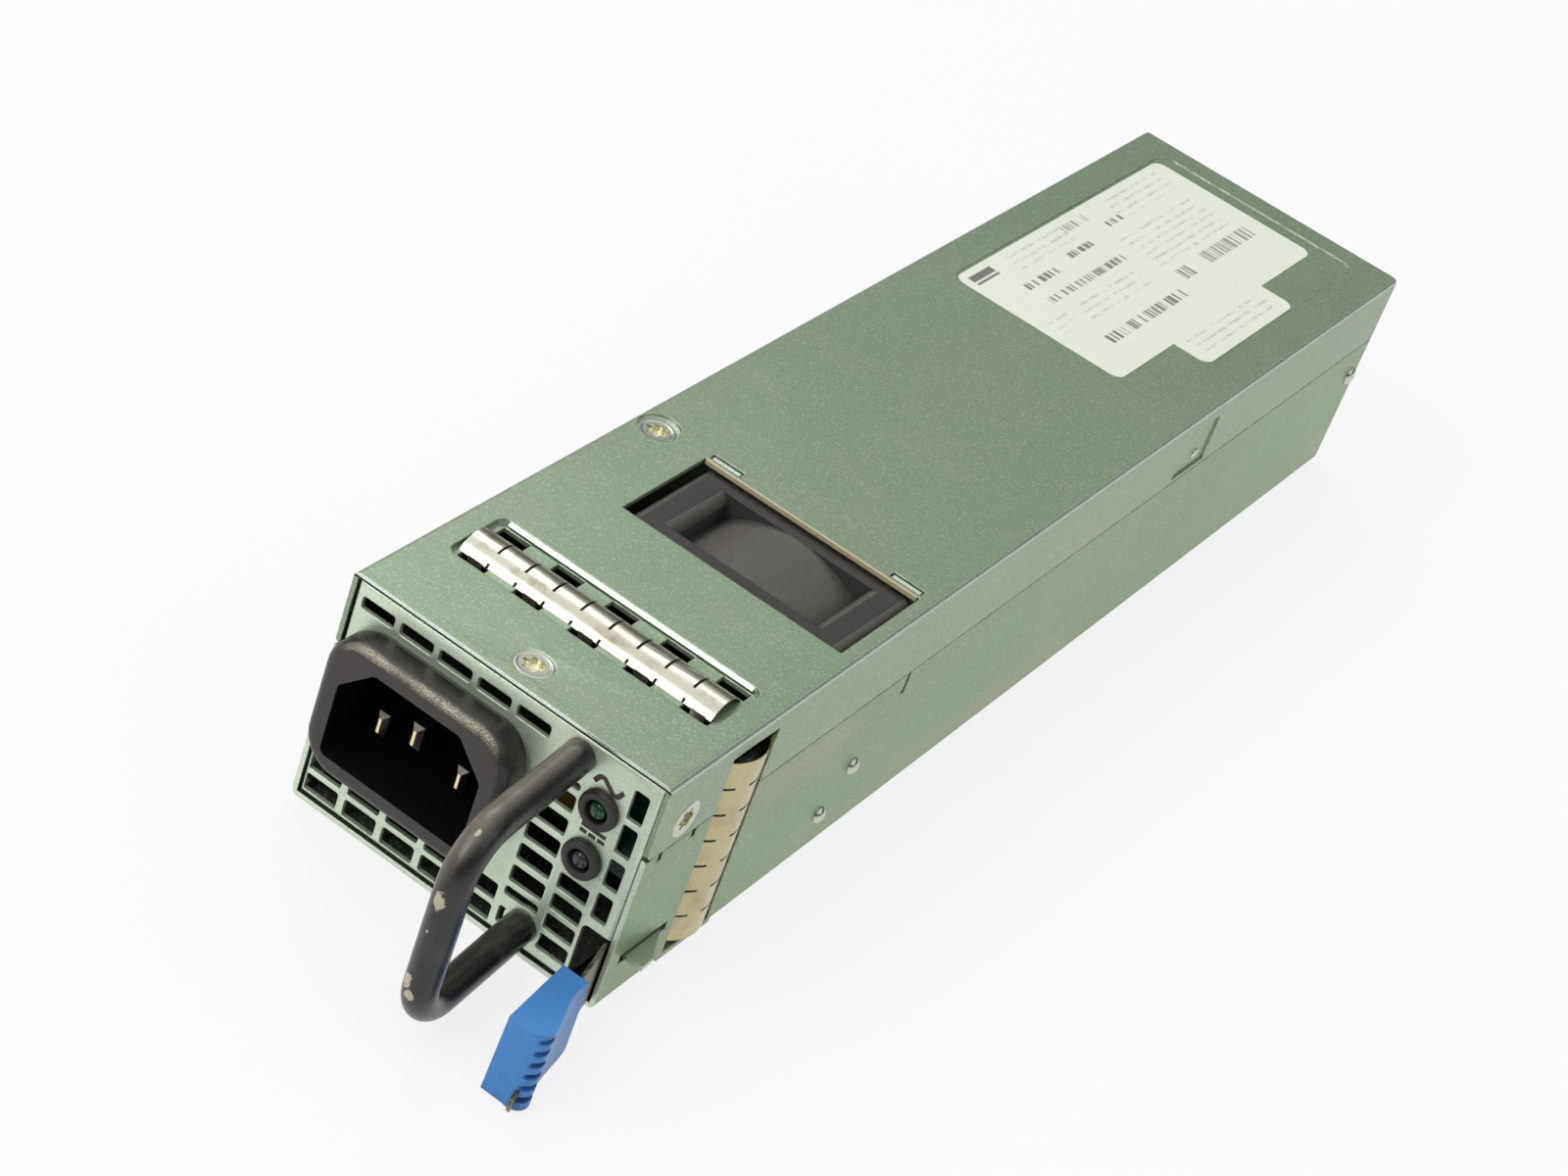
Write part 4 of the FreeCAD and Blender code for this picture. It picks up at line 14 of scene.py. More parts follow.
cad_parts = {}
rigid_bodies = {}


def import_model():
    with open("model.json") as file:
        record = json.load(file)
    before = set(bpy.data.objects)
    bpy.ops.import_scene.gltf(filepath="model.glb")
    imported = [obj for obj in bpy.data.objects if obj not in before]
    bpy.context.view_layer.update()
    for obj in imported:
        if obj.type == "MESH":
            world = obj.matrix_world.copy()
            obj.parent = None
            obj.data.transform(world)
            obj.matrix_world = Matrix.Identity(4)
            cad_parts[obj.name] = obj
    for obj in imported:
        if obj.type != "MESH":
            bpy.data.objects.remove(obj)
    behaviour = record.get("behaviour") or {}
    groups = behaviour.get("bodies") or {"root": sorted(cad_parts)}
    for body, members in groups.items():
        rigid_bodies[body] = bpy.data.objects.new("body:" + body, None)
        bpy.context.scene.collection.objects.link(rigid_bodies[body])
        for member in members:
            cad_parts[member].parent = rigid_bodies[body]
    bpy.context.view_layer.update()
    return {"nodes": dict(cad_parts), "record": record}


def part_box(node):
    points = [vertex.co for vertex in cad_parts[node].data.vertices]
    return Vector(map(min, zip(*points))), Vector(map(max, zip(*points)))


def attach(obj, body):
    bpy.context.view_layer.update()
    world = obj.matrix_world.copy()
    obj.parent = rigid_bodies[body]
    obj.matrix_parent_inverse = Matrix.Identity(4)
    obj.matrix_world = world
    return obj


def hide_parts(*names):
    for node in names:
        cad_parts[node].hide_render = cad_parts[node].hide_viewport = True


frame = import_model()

log = logging.getLogger("supply")
Piece = bpy.types.Object
Socket = bpy.types.NodeSocket
Triple = tuple[float, float, float]
Feed = Union[float, Triple, Socket]
FaceTest = Callable[[Vector, Vector], bool]

MM = 0.001
FRONT = -114.0
FLOAT = "NodeSocketFloat"
VECTOR = "NodeSocketVector"


class Body(Enum):
    """The bodies that a piece can ride on."""

    HOUSING = "housing"
    ROTOR = "fan_rotor"
    LATCH = "latch"


class Axis(Enum):
    """A direction that a turned piece points along."""

    X = (1.0, 0.0, 0.0)
    Y = (0.0, 1.0, 0.0)
    Z = (0.0, 0.0, 1.0)

    def vector(self) -> Vector:
        """The direction as a vector."""
        return Vector(self.value)


class Part(Enum):
    """The parts of a mesh that can be chosen."""

    VERTEX = "VERT"
    FACE = "FACE"


class Metal(Enum):
    """How metallic a finish is."""

    NONE = 0.0
    COATED = 0.62
    BARE = 0.92


class Pattern(Enum):
    """The pattern that a stain follows."""

    NOISE = "noise"
    CELLS = "cells"


class Print(Enum):
    """A kind of print on the label, with the softness of its border in millimetres and its ink's colour."""

    BARS = (0.35, (0.07, 0.075, 0.065))
    SOLID = (0.3, (0.07, 0.075, 0.065))
    LINES = (0.8, (0.16, 0.17, 0.14))


# ---- modelling by hand ---------------------------------------------------------------------------


def in_hand() -> Piece:
    """The object that is active, such as the one that the last operator made."""
    return bpy.context.view_layer.objects.active


def set_down() -> None:
    """Leave edit mode and deselect everything."""
    if in_hand() is not None and in_hand().mode != "OBJECT":
        bpy.ops.object.mode_set(mode="OBJECT")
    bpy.ops.object.select_all(action="DESELECT")


def pick_up(*pieces: Piece) -> None:
    """Select the pieces, with the first one active.

    Args:
        pieces: the objects to work on.
    """
    set_down()
    for piece in pieces:
        piece.select_set(True)
    bpy.context.view_layer.objects.active = pieces[0]


@contextmanager
def editing(choice: str | None = "SELECT") -> Iterator[None]:
    """Work on the active object in edit mode.

    Args:
        choice: what is done to the whole mesh's selection first, or None to keep the selection.
    """
    bpy.ops.object.mode_set(mode="EDIT")
    if choice:
        bpy.ops.mesh.select_all(action=choice)
    yield
    bpy.ops.object.mode_set(mode="OBJECT")


def choose(piece: Piece, kind: Part, chosen: Callable[[bpy.types.bpy_struct], bool]) -> None:
    """Select some parts of a piece for the next edit, and nothing else.

    Args:
        piece: the object.
        kind: the kind of part.
        chosen: tells whether a vertex or a face is selected.
    """
    pick_up(piece)
    with editing("DESELECT"):
        bpy.ops.mesh.select_mode(type=kind.value)
    parts = piece.data.vertices if kind is Part.VERTEX else piece.data.polygons
    for part in parts:
        part.select = chosen(part)


def settle(piece: Piece, name: str) -> Piece:
    """Name a piece and put its place and turn into its mesh.

    Args:
        piece: the object just made.
        name: its new name.

    Returns:
        The same object, at the origin, unturned and unscaled.
    """
    pick_up(piece)
    bpy.ops.object.transform_apply(location=True, rotation=True, scale=True)
    piece.name = name
    piece.data.name = name
    return piece


def join(name: str, pieces: Sequence[Piece]) -> Piece:
    """Join several objects into one.

    Args:
        name: the name of the joined piece.
        pieces: the objects to join.

    Returns:
        The joined object.
    """
    pick_up(*pieces)
    if len(pieces) > 1:
        bpy.ops.object.join()
    return settle(in_hand(), name)


def use(piece: Piece, kind: str, **settings: object) -> None:
    """Add a modifier to a piece and apply it.

    Args:
        piece: the object to change.
        kind: the modifier's type.
        settings: its settings by name.
    """
    pick_up(piece)
    modifier = piece.modifiers.new(kind.title(), kind)
    for key, value in settings.items():
        setattr(modifier, key, value)
    bpy.ops.object.modifier_apply(modifier=modifier.name)


def soften(piece: Piece, angle: float) -> None:
    """Shade a piece smooth, with its large faces flat.

    Args:
        piece: the object to shade.
        angle: faces that meet at less than this many degrees are shaded as one surface.
    """
    pick_up(piece)
    bpy.ops.object.shade_smooth_by_angle(angle=math.radians(angle))
    use(piece, "WEIGHTED_NORMAL", keep_sharp=True, weight=100)


def plate(name: str, low: Sequence[float], high: Sequence[float]) -> Piece:
    """Add a box between two corners given in millimetres.

    Args:
        name: the piece's name.
        low: its lowest corner.
        high: its highest corner.

    Returns:
        The new object.
    """
    set_down()
    centre = [(a + b) / 2 * MM for a, b in zip(low, high)]
    size = [(b - a) * MM for a, b in zip(low, high)]
    bpy.ops.mesh.primitive_cube_add(size=1.0, location=centre, scale=size)
    return settle(in_hand(), name)


def turned(name: str, rings: Sequence[tuple[float, float]], start: Sequence[float], axis: Axis,
           way: int = 1, sides: int = 48) -> Piece:
    """Build a turned piece ring by ring, in millimetres.

    Args:
        name: the piece's name.
        rings: the radius and the height along the axis of each ring, from the first face to the last.
        start: the point that heights count from.
        axis: the direction of the piece's axis.
        way: 1 to build along the axis, -1 to build against it.
        sides: the number of faces round the piece.

    Returns:
        The new object.
    """
    set_down()
    along = axis.vector() * way
    centre = Vector(start) * MM
    radius, height = rings[0]
    turn = Axis.Z.vector().rotation_difference(along).to_euler()
    bpy.ops.mesh.primitive_circle_add(vertices=sides, radius=radius * MM, fill_type="NGON",
                                      location=centre + along * height * MM, rotation=turn)
    piece = in_hand()
    with editing():
        for next_radius, next_height in rings[1:]:
            step = along * (next_height - height) * MM
            bpy.ops.mesh.extrude_region_move(TRANSFORM_OT_translate={"value": step})
            scale = next_radius / radius
            factors = [1.0 if part else scale for part in axis.value]
            bpy.ops.transform.resize(value=factors, center_override=centre + along * next_height * MM)
            radius, height = next_radius, next_height
        bpy.ops.mesh.select_all(action="SELECT")
        bpy.ops.mesh.normals_make_consistent(inside=False)
    return settle(piece, name)


def cut_with(piece: Piece, tool: Piece) -> None:
    """Cut one object out of another and throw the tool away."""
    use(piece, "BOOLEAN", operation="DIFFERENCE", object=tool, solver="EXACT")
    bpy.data.objects.remove(tool)


def copy_of(node: str, name: str, angle: float = 32.0) -> Piece:
    """Copy a frame node as a piece of its own, with its seams merged and its curves smooth.

    Args:
        node: the frame node to copy.
        name: the new piece's name.
        angle: faces that meet at less than this many degrees are shaded as one surface.

    Returns:
        The new object.
    """
    pick_up(frame["nodes"][node])
    bpy.ops.object.duplicate()
    piece = in_hand()
    bpy.ops.object.parent_clear(type="CLEAR_KEEP_TRANSFORM")
    for key in [key for key in piece.keys() if key.startswith("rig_")]:
        del piece[key]
    piece.data.materials.clear()
    bpy.ops.mesh.customdata_custom_splitnormals_clear()
    with editing():
        bpy.ops.mesh.remove_doubles(threshold=0.002 * MM)
    settle(piece, name)
    soften(piece, angle)
    return piece


def size_of(node: str) -> tuple[Vector, Vector]:
    """The lowest and highest corners of a frame node, in millimetres."""
    low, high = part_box(node)
    return low / MM, high / MM


# ---- shared shader effects -----------------------------------------------------------------------


class Wiring:
    """Adds shader nodes to one tree and joins them."""

    def __init__(self, tree: bpy.types.NodeTree) -> None:
        """Keep the tree to work in. A group's own inputs and outputs are filled in by new_group.

        Args:
            tree: the node tree.
        """
        self.tree = tree
        self.source: dict[str, Socket] = {}
        self.result: dict[str, Socket] = {}

    def add(self, kind: str, feeds: dict[str | int, Feed] | None = None,
            **settings: object) -> bpy.types.Node:
        """Add a node.

        Args:
            kind: the node's type.
            feeds: a value or an output socket for each input, by name or by number.
            settings: the node's own settings.

        Returns:
            The new node.
        """
        node = self.tree.nodes.new(kind)
        for key, value in settings.items():
            setattr(node, key, value)
        for key, value in (feeds or {}).items():
            self.feed(node.inputs[key], value)
        return node

    def feed(self, socket: Socket, value: Feed) -> None:
        """Give a socket a value, or join an output to it.

        Args:
            socket: the input.
            value: a number, a vector, a colour without its alpha, or another node's output.
        """
        if isinstance(value, Socket):
            self.tree.links.new(value, socket)
        elif isinstance(value, tuple) and socket.type == "RGBA":
            socket.default_value = (*value, 1.0)
        else:
            socket.default_value = value

    def give(self, **results: Feed) -> bpy.types.NodeTree:
        """Join values to the outputs of a group.

        Args:
            results: a value for each output.

        Returns:
            The group's tree.
        """
        for key, value in results.items():
            self.feed(self.result[key], value)
        return self.tree

    def effect(self, tree: bpy.types.NodeTree, feeds: dict[str, Feed]) -> dict[str, Socket]:
        """Place a shared effect.

        Args:
            tree: the effect's node group.
            feeds: a value or socket for each of its inputs.

        Returns:
            Its outputs by name.
        """
        return dict(self.add("ShaderNodeGroup", feeds, node_tree=tree).outputs.items())

    def sum(self, operation: str, first: Feed, second: Feed = 0.0, clamp: bool = False) -> Socket:
        """Work out one operation on two values.

        Args:
            operation: the operation's name.
            first: the first value or socket.
            second: the second value or socket.
            clamp: whether the result stays from 0 to 1.

        Returns:
            The socket with the result.
        """
        feeds = {0: first, 1: second}
        return self.add("ShaderNodeMath", feeds, operation=operation, use_clamp=clamp).outputs[0]

    def times(self, first: Feed, *others: Feed, clamp: bool = False) -> Socket:
        """Multiply values.

        Args:
            first: the first value or socket.
            others: those that multiply it, in order.
            clamp: whether each product stays from 0 to 1.

        Returns:
            The socket with the product.
        """
        for other in others:
            first = self.sum("MULTIPLY", first, other, clamp)
        return first

    def vector(self, operation: str, first: Feed, second: Feed = (0.0, 0.0, 0.0)) -> Socket:
        """Work out one operation on two vectors.

        Args:
            operation: the operation's name.
            first: the first vector.
            second: the second vector.

        Returns:
            The socket with the vector, or with the number where the operation gives one.
        """
        outputs = self.add("ShaderNodeVectorMath", {0: first, 1: second}, operation=operation).outputs
        return outputs["Value" if operation in ("DOT_PRODUCT", "LENGTH") else "Vector"]

    def blend(self, share: Feed, first: Feed, second: Feed, mode: str = "MIX") -> Socket:
        """Blend two colours.

        Args:
            share: how much of the second colour shows.
            first: the first colour.
            second: the second colour.
            mode: how they blend.

        Returns:
            The socket with the blended colour.
        """
        feeds = {0: share, 6: first, 7: second}
        return self.add("ShaderNodeMix", feeds, data_type="RGBA", blend_type=mode).outputs[2]

    def span(self, value: Feed, low: float, high: float, to_low: float = 0.0, to_high: float = 1.0) -> Socket:
        """Map a value from one range to another, clamped.

        Args:
            value: the value or socket.
            low: the start of its range.
            high: the end of its range.
            to_low: the result at the start.
            to_high: the result at the end.

        Returns:
            The socket with the result.
        """
        feeds = {"Value": value, "From Min": low, "From Max": high, "To Min": to_low, "To Max": to_high}
        return self.add("ShaderNodeMapRange", feeds).outputs["Result"]

    def noise(self, place: Socket, scale: Feed, detail: float = 2.0, rough: float = 0.5) -> Socket:
        """Add a soft noise.

        Args:
            place: the surface point.
            scale: how many swells there are in a metre.
            detail: how many finer layers it has.
            rough: how strong the finer layers are.

        Returns:
            The socket with the noise, which lies round 0.5.
        """
        feeds = {"Vector": place, "Scale": scale, "Detail": detail, "Roughness": rough}
        return self.add("ShaderNodeTexNoise", feeds).outputs["Fac"]

    def cells(self, place: Socket, scale: Feed) -> Sequence[Socket]:
        """Add a pattern of small cells, each with random values of its own.

        Args:
            place: the surface point.
            scale: how many cells there are in a metre.

        Returns:
            The sockets with a cell's three values.
        """
        colour = self.add("ShaderNodeTexVoronoi", {"Vector": place, "Scale": scale}).outputs["Color"]
        return self.add("ShaderNodeSeparateColor", {"Color": colour}).outputs

    def parts(self, vector: Socket) -> Sequence[Socket]:
        """The three parts of a vector."""
        return self.add("ShaderNodeSeparateXYZ", {"Vector": vector}).outputs

    def stretched(self, place: Socket, scale: Triple) -> Socket:
        """The surface point with its three parts scaled."""
        return self.add("ShaderNodeMapping", {"Vector": place, "Scale": scale}).outputs["Vector"]

    def place(self) -> Socket:
        """The surface point in the object's own coordinates."""
        return self.add("ShaderNodeTexCoord").outputs["Object"]

    def facing(self) -> Socket:
        """The direction that the surface faces."""
        return self.add("ShaderNodeNewGeometry").outputs["Normal"]


def new_group(name: str, takes: dict[str, float | None], gives: dict[str, str]) -> Wiring:
    """Start a shader node group with named sockets.

    Args:
        name: the group's name.
        takes: the default value of each input, or None where it takes a vector.
        gives: the socket type of each output.

    Returns:
        The wiring of the new group.
    """
    tree = bpy.data.node_groups.new(name, "ShaderNodeTree")
    for key, value in takes.items():
        kind = VECTOR if value is None else FLOAT
        socket = tree.interface.new_socket(name=key, in_out="INPUT", socket_type=kind)
        if value is not None:
            socket.default_value = value
    for key, kind in gives.items():
        tree.interface.new_socket(name=key, in_out="OUTPUT", socket_type=kind)
    wires = Wiring(tree)
    wires.source = dict(tree.nodes.new("NodeGroupInput").outputs.items())
    wires.result = dict(tree.nodes.new("NodeGroupOutput").inputs.items())
    return wires


def grain_effect() -> bpy.types.NodeTree:
    """Build the fine grain group: a soft noise, a sharp speckle and slow clouds.

    Returns:
        The node group.
    """
    wires = new_group("fine grain", {"Place": None, "Scale": 3000.0, "Cloud Scale": 40.0},
                      {"Noise": FLOAT, "Speckle": FLOAT, "Cloud": FLOAT})
    place, scale, cloud_scale = (wires.source[key] for key in ("Place", "Scale", "Cloud Scale"))
    noise = wires.noise(place, scale, detail=3.0, rough=0.6)
    cloud = wires.span(wires.noise(place, cloud_scale, detail=4.0, rough=0.55), 0.32, 0.68)
    return wires.give(Noise=noise, Speckle=wires.cells(place, scale)[0], Cloud=cloud)


def edge_effect() -> bpy.types.NodeTree:
    """Build the edge group: a normal rounded over sharp edges, and a mask of the edges that wear.

    Returns:
        The node group.
    """
    wires = new_group("edge wear", {"Place": None, "Radius": 0.0003, "Amount": 1.0, "Break": 600.0},
                      {"Normal": VECTOR, "Wear": FLOAT})
    round_over = wires.add("ShaderNodeBevel", {"Radius": wires.source["Radius"]}, samples=6).outputs["Normal"]
    bend = wires.span(wires.vector("DOT_PRODUCT", round_over, wires.facing()), 0.995, 0.86)
    torn = wires.span(wires.noise(wires.source["Place"], wires.source["Break"]), 0.35, 0.6)
    wear = wires.sum("MULTIPLY", wires.times(bend, torn), wires.source["Amount"], clamp=True)
    return wires.give(Normal=round_over, Wear=wear)


def patch_effect() -> bpy.types.NodeTree:
    """Build the patch group: a mask of 1 inside a box and 0 outside it, with a soft border.

    Returns:
        The node group.
    """
    wires = new_group("patch", {"Place": None, "Centre": None, "Half": None, "Border": 0.0003},
                      {"Inside": FLOAT})
    offset = wires.vector("SUBTRACT", wires.source["Place"], wires.source["Centre"])
    past = wires.parts(wires.vector("SUBTRACT", wires.vector("ABSOLUTE", offset), wires.source["Half"]))
    most = wires.sum("MAXIMUM", wires.sum("MAXIMUM", past[0], past[1]), past[2])
    share = wires.sum("DIVIDE", most, wires.source["Border"])
    return wires.give(Inside=wires.sum("SUBTRACT", 0.5, share, clamp=True))


def dirt_and_shade_effect() -> bpy.types.NodeTree:
    """Build the grime and shade group: a mask of corners and sheltered spots, for grime that gathers there
    and for painted shade.

    Returns:
        The node group.
    """
    wires = new_group("gathered dirt", {"Place": None, "Reach": 0.003, "Amount": 0.5}, {"Dirt": FLOAT})
    reach = {"Distance": wires.source["Reach"]}
    open_air = wires.add("ShaderNodeAmbientOcclusion", reach, samples=6).outputs["AO"]
    mottled = wires.span(wires.noise(wires.source["Place"], 260.0, detail=4.0), 0.3, 0.65, 0.45, 1.0)
    # grime and painted shade: darker where ambient occlusion finds surfaces close by, mottled by noise
    dirt = wires.times(wires.span(open_air, 0.85, 0.3), mottled)
    return wires.give(Dirt=wires.sum("MULTIPLY", dirt, wires.source["Amount"], clamp=True))


class Effects:
    """The shared effects, built once."""

    GRAIN = grain_effect()
    EDGE = edge_effect()
    PATCH = patch_effect()
    DIRT_AND_SHADE = dirt_and_shade_effect()


# ---- kinds of finish -----------------------------------------------------------------------------


@dataclass(frozen=True)
class Stain:
    """A colour laid on where a pattern rises from low to high, up to a greatest share."""

    colour: Triple
    scale: float
    low: float
    high: float
    share: float
    detail: float = 2.0
    rough: float = 0.5
    stretch: Triple | None = None
    pattern: Pattern = Pattern.NOISE

    def lay(self, wires: Wiring, place: Socket, base: Socket) -> Socket:
        """Lay the stain over a colour.

        Args:
            wires: the material's wiring.
            place: the surface point.
            base: the colour so far.

        Returns:
            The stained colour.
        """
        if self.stretch:
            place = wires.stretched(place, self.stretch)
        if self.pattern is Pattern.CELLS:
            mask = wires.cells(place, self.scale)[1]
        else:
            mask = wires.noise(place, self.scale, self.detail, self.rough)
        return wires.blend(wires.span(mask, self.low, self.high, 0.0, self.share), base, self.colour)


@dataclass(frozen=True)
class Finish:
    """A surface finish: its colours, its grain, its gloss and its wear. Lengths are in millimetres."""

    slot: str
    colour: Triple
    second: Triple
    metal: Metal = Metal.NONE
    rough: float = 0.5
    rough_swing: float = 0.1
    grain: float = 0.3
    speckle: float = 0.06
    clouds: float = 25.0
    cloud_share: float = 0.6
    bump: float = 0.02
    edge: float = 0.2
    edge_colour: Triple = (0.6, 0.6, 0.58)
    wear: float = 0.3
    dirt: float = 0.35
    dirt_and_shade_reach: float = 3.0
    dirt_and_shade_colour: Triple = (0.03, 0.03, 0.026)
    specular: float = 0.5
    coat: float = 0.0
    clear: float = 0.0
    stains: tuple[Stain, ...] = ()

    def colouring(self, wires: Wiring, place: Socket, base: Socket) -> Socket:
        """Change the base colour where this finish has marks of its own.

        Args:
            wires: the material's wiring.
            place: the surface point.
            base: the colour so far.

        Returns:
            The colour with the marks.
        """
        for stain in self.stains:
            base = stain.lay(wires, place, base)
        return base

    def build(self) -> bpy.types.Material:
        """Make the material.

        Returns:
            The finished material.
        """
        material = bpy.data.materials.new(self.slot)
        material.use_nodes = True
        material.node_tree.nodes.clear()
        wires = Wiring(material.node_tree)
        place = wires.place()
        grain = wires.effect(Effects.GRAIN, {"Place": place, "Scale": 1.0 / (self.grain * MM),
                                             "Cloud Scale": self.clouds})
        edge = wires.effect(Effects.EDGE, {"Place": place, "Radius": self.edge * MM, "Amount": self.wear})
        dust_and_painted_light = wires.effect(Effects.DIRT_AND_SHADE, {"Place": place, "Amount": self.dirt,
                                           "Reach": self.dirt_and_shade_reach * MM})
        base = wires.blend(wires.times(grain["Cloud"], self.cloud_share), self.colour, self.second)
        swing = wires.span(grain["Speckle"], 0.0, 1.0, 1.0 - self.speckle, 1.0 + self.speckle)
        grey = wires.add("ShaderNodeCombineColor", {"Red": swing, "Green": swing, "Blue": swing}).outputs[0]
        base = wires.blend(1.0, base, grey, "MULTIPLY")
        base = self.colouring(wires, place, base)
        base = wires.blend(edge["Wear"], base, self.edge_colour)
        # grime and painted shade, near-black in sheltered corners and creases
        base = wires.blend(dust_and_painted_light["Dirt"], base, self.dirt_and_shade_colour)
        dullest = self.rough + self.rough_swing
        rough = wires.span(grain["Noise"], 0.3, 0.7, self.rough - self.rough_swing, dullest)
        bump = wires.add("ShaderNodeBump", {"Strength": 0.6, "Distance": self.bump * MM,
                                            "Height": grain["Noise"], "Normal": edge["Normal"]})
        shader = wires.add("ShaderNodeBsdfPrincipled", {
            "Base Color": base, "Metallic": self.metal.value, "Roughness": rough,
            "Normal": bump.outputs["Normal"], "Specular IOR Level": self.specular, "Coat Weight": self.coat,
            "Transmission Weight": self.clear})
        wires.add("ShaderNodeOutputMaterial", {"Surface": shader.outputs["BSDF"]})
        return material

    def patch(self, wires: Wiring, place: Socket, low: Sequence[float], high: Sequence[float],
              border: float = 0.3) -> Socket:
        """Mask a box of space given by two corners in millimetres.

        Args:
            wires: the material's wiring.
            place: the surface point.
            low: the box's lowest corner.
            high: its highest corner.
            border: the width of its soft border.

        Returns:
            The mask.
        """
        centre = tuple((a + b) / 2 * MM for a, b in zip(low, high))
        half = tuple((b - a) / 2 * MM for a, b in zip(low, high))
        return wires.effect(Effects.PATCH, {"Place": place, "Centre": centre, "Half": half,
                                            "Border": border * MM})["Inside"]


def zinc_stains(sheen: float) -> tuple[Stain, ...]:
    """The marks on zinc: a warm tint, bright flakes, dark pits and slow green and pink clouds.

    Args:
        sheen: how strong the green and pink clouds are.

    Returns:
        The stains, in order.
    """
    stretch = (1.0, 0.45, 1.6)
    return (
        Stain((0.44, 0.43, 0.37), 85.0, 0.5, 0.75, 0.3, detail=5.0, rough=0.7),
        Stain((0.80, 0.88, 0.76), 3600.0, 0.8, 0.95, 0.24, pattern=Pattern.CELLS),
        Stain((0.16, 0.19, 0.16), 3600.0, 0.16, 0.04, 0.22, pattern=Pattern.CELLS),
        Stain((0.20, 0.44, 0.24), 34.0, 0.5, 0.66, sheen, stretch=stretch),
        Stain((0.52, 0.40, 0.33), 57.0, 0.54, 0.7, sheen, detail=3.0, stretch=stretch),
    )


@dataclass(frozen=True)
class ZincSheet(Finish):
    """Zinc-coated steel: fine pale and dark sparkle over slow green and pink clouds."""

    metal: Metal = Metal.COATED
    rough: float = 0.37
    rough_swing: float = 0.05
    grain: float = 0.28
    speckle: float = 0.05
    bump: float = 0.006
    edge: float = 0.3
    edge_colour: Triple = (0.80, 0.86, 0.76)
    wear: float = 0.7
    dirt: float = 0.5
    dirt_and_shade_reach: float = 0.8
    specular: float = 0.3
    stains: tuple[Stain, ...] = zinc_stains(0.06)


@dataclass(frozen=True)
class HighlightZinc(ZincSheet):
    """Zinc with a painted highlight, for bends and slopes that face the light."""

    rough: float = 0.3
    rough_swing: float = 0.1
    grain: float = 0.2
    bump: float = 0.004
    edge: float = 0.1
    edge_colour: Triple = (0.97, 0.99, 0.97)
    wear: float = 0.3
    dirt: float = 0.0
    dirt_and_shade_reach: float = 3.0
    specular: float = 0.5


@dataclass(frozen=True)
class EdgeHighlightZinc(HighlightZinc):
    """Sheet edge with a painted highlight, and the painted shadow of the gap under it."""

    edge_colour: Triple = (0.95, 0.98, 0.94)
    gap_low: Triple = (-40.0, -120.0, 39.0)
    gap_high: Triple = (40.0, -100.0, 39.5)
    shadow: Triple = (0.01, 0.012, 0.01)

    def colouring(self, wires: Wiring, place: Socket, base: Socket) -> Socket:
        """Paint the gap's shadow on the strip."""
        gap = self.patch(wires, place, self.gap_low, self.gap_high, border=0.06)
        return wires.blend(gap, base, self.shadow)


@dataclass(frozen=True)
class SpringTin(Finish):
    """Tinned spring strip: pale, glossy, with warm stains and fine rubbed lines across the fingers."""

    metal: Metal = Metal.BARE
    clouds: float = 60.0
    grain: float = 0.05
    speckle: float = 0.0
    bump: float = 0.004
    edge: float = 0.12
    dirt: float = 0.45
    stains: tuple[Stain, ...] = (
        Stain((0.36, 0.31, 0.20), 240.0, 0.52, 0.72, 0.7, detail=5.0, rough=0.6),
        Stain((0.85, 0.83, 0.74), 260.0, 0.55, 0.7, 0.25, detail=3.0, stretch=(1.0, 14.0, 14.0)),
    )


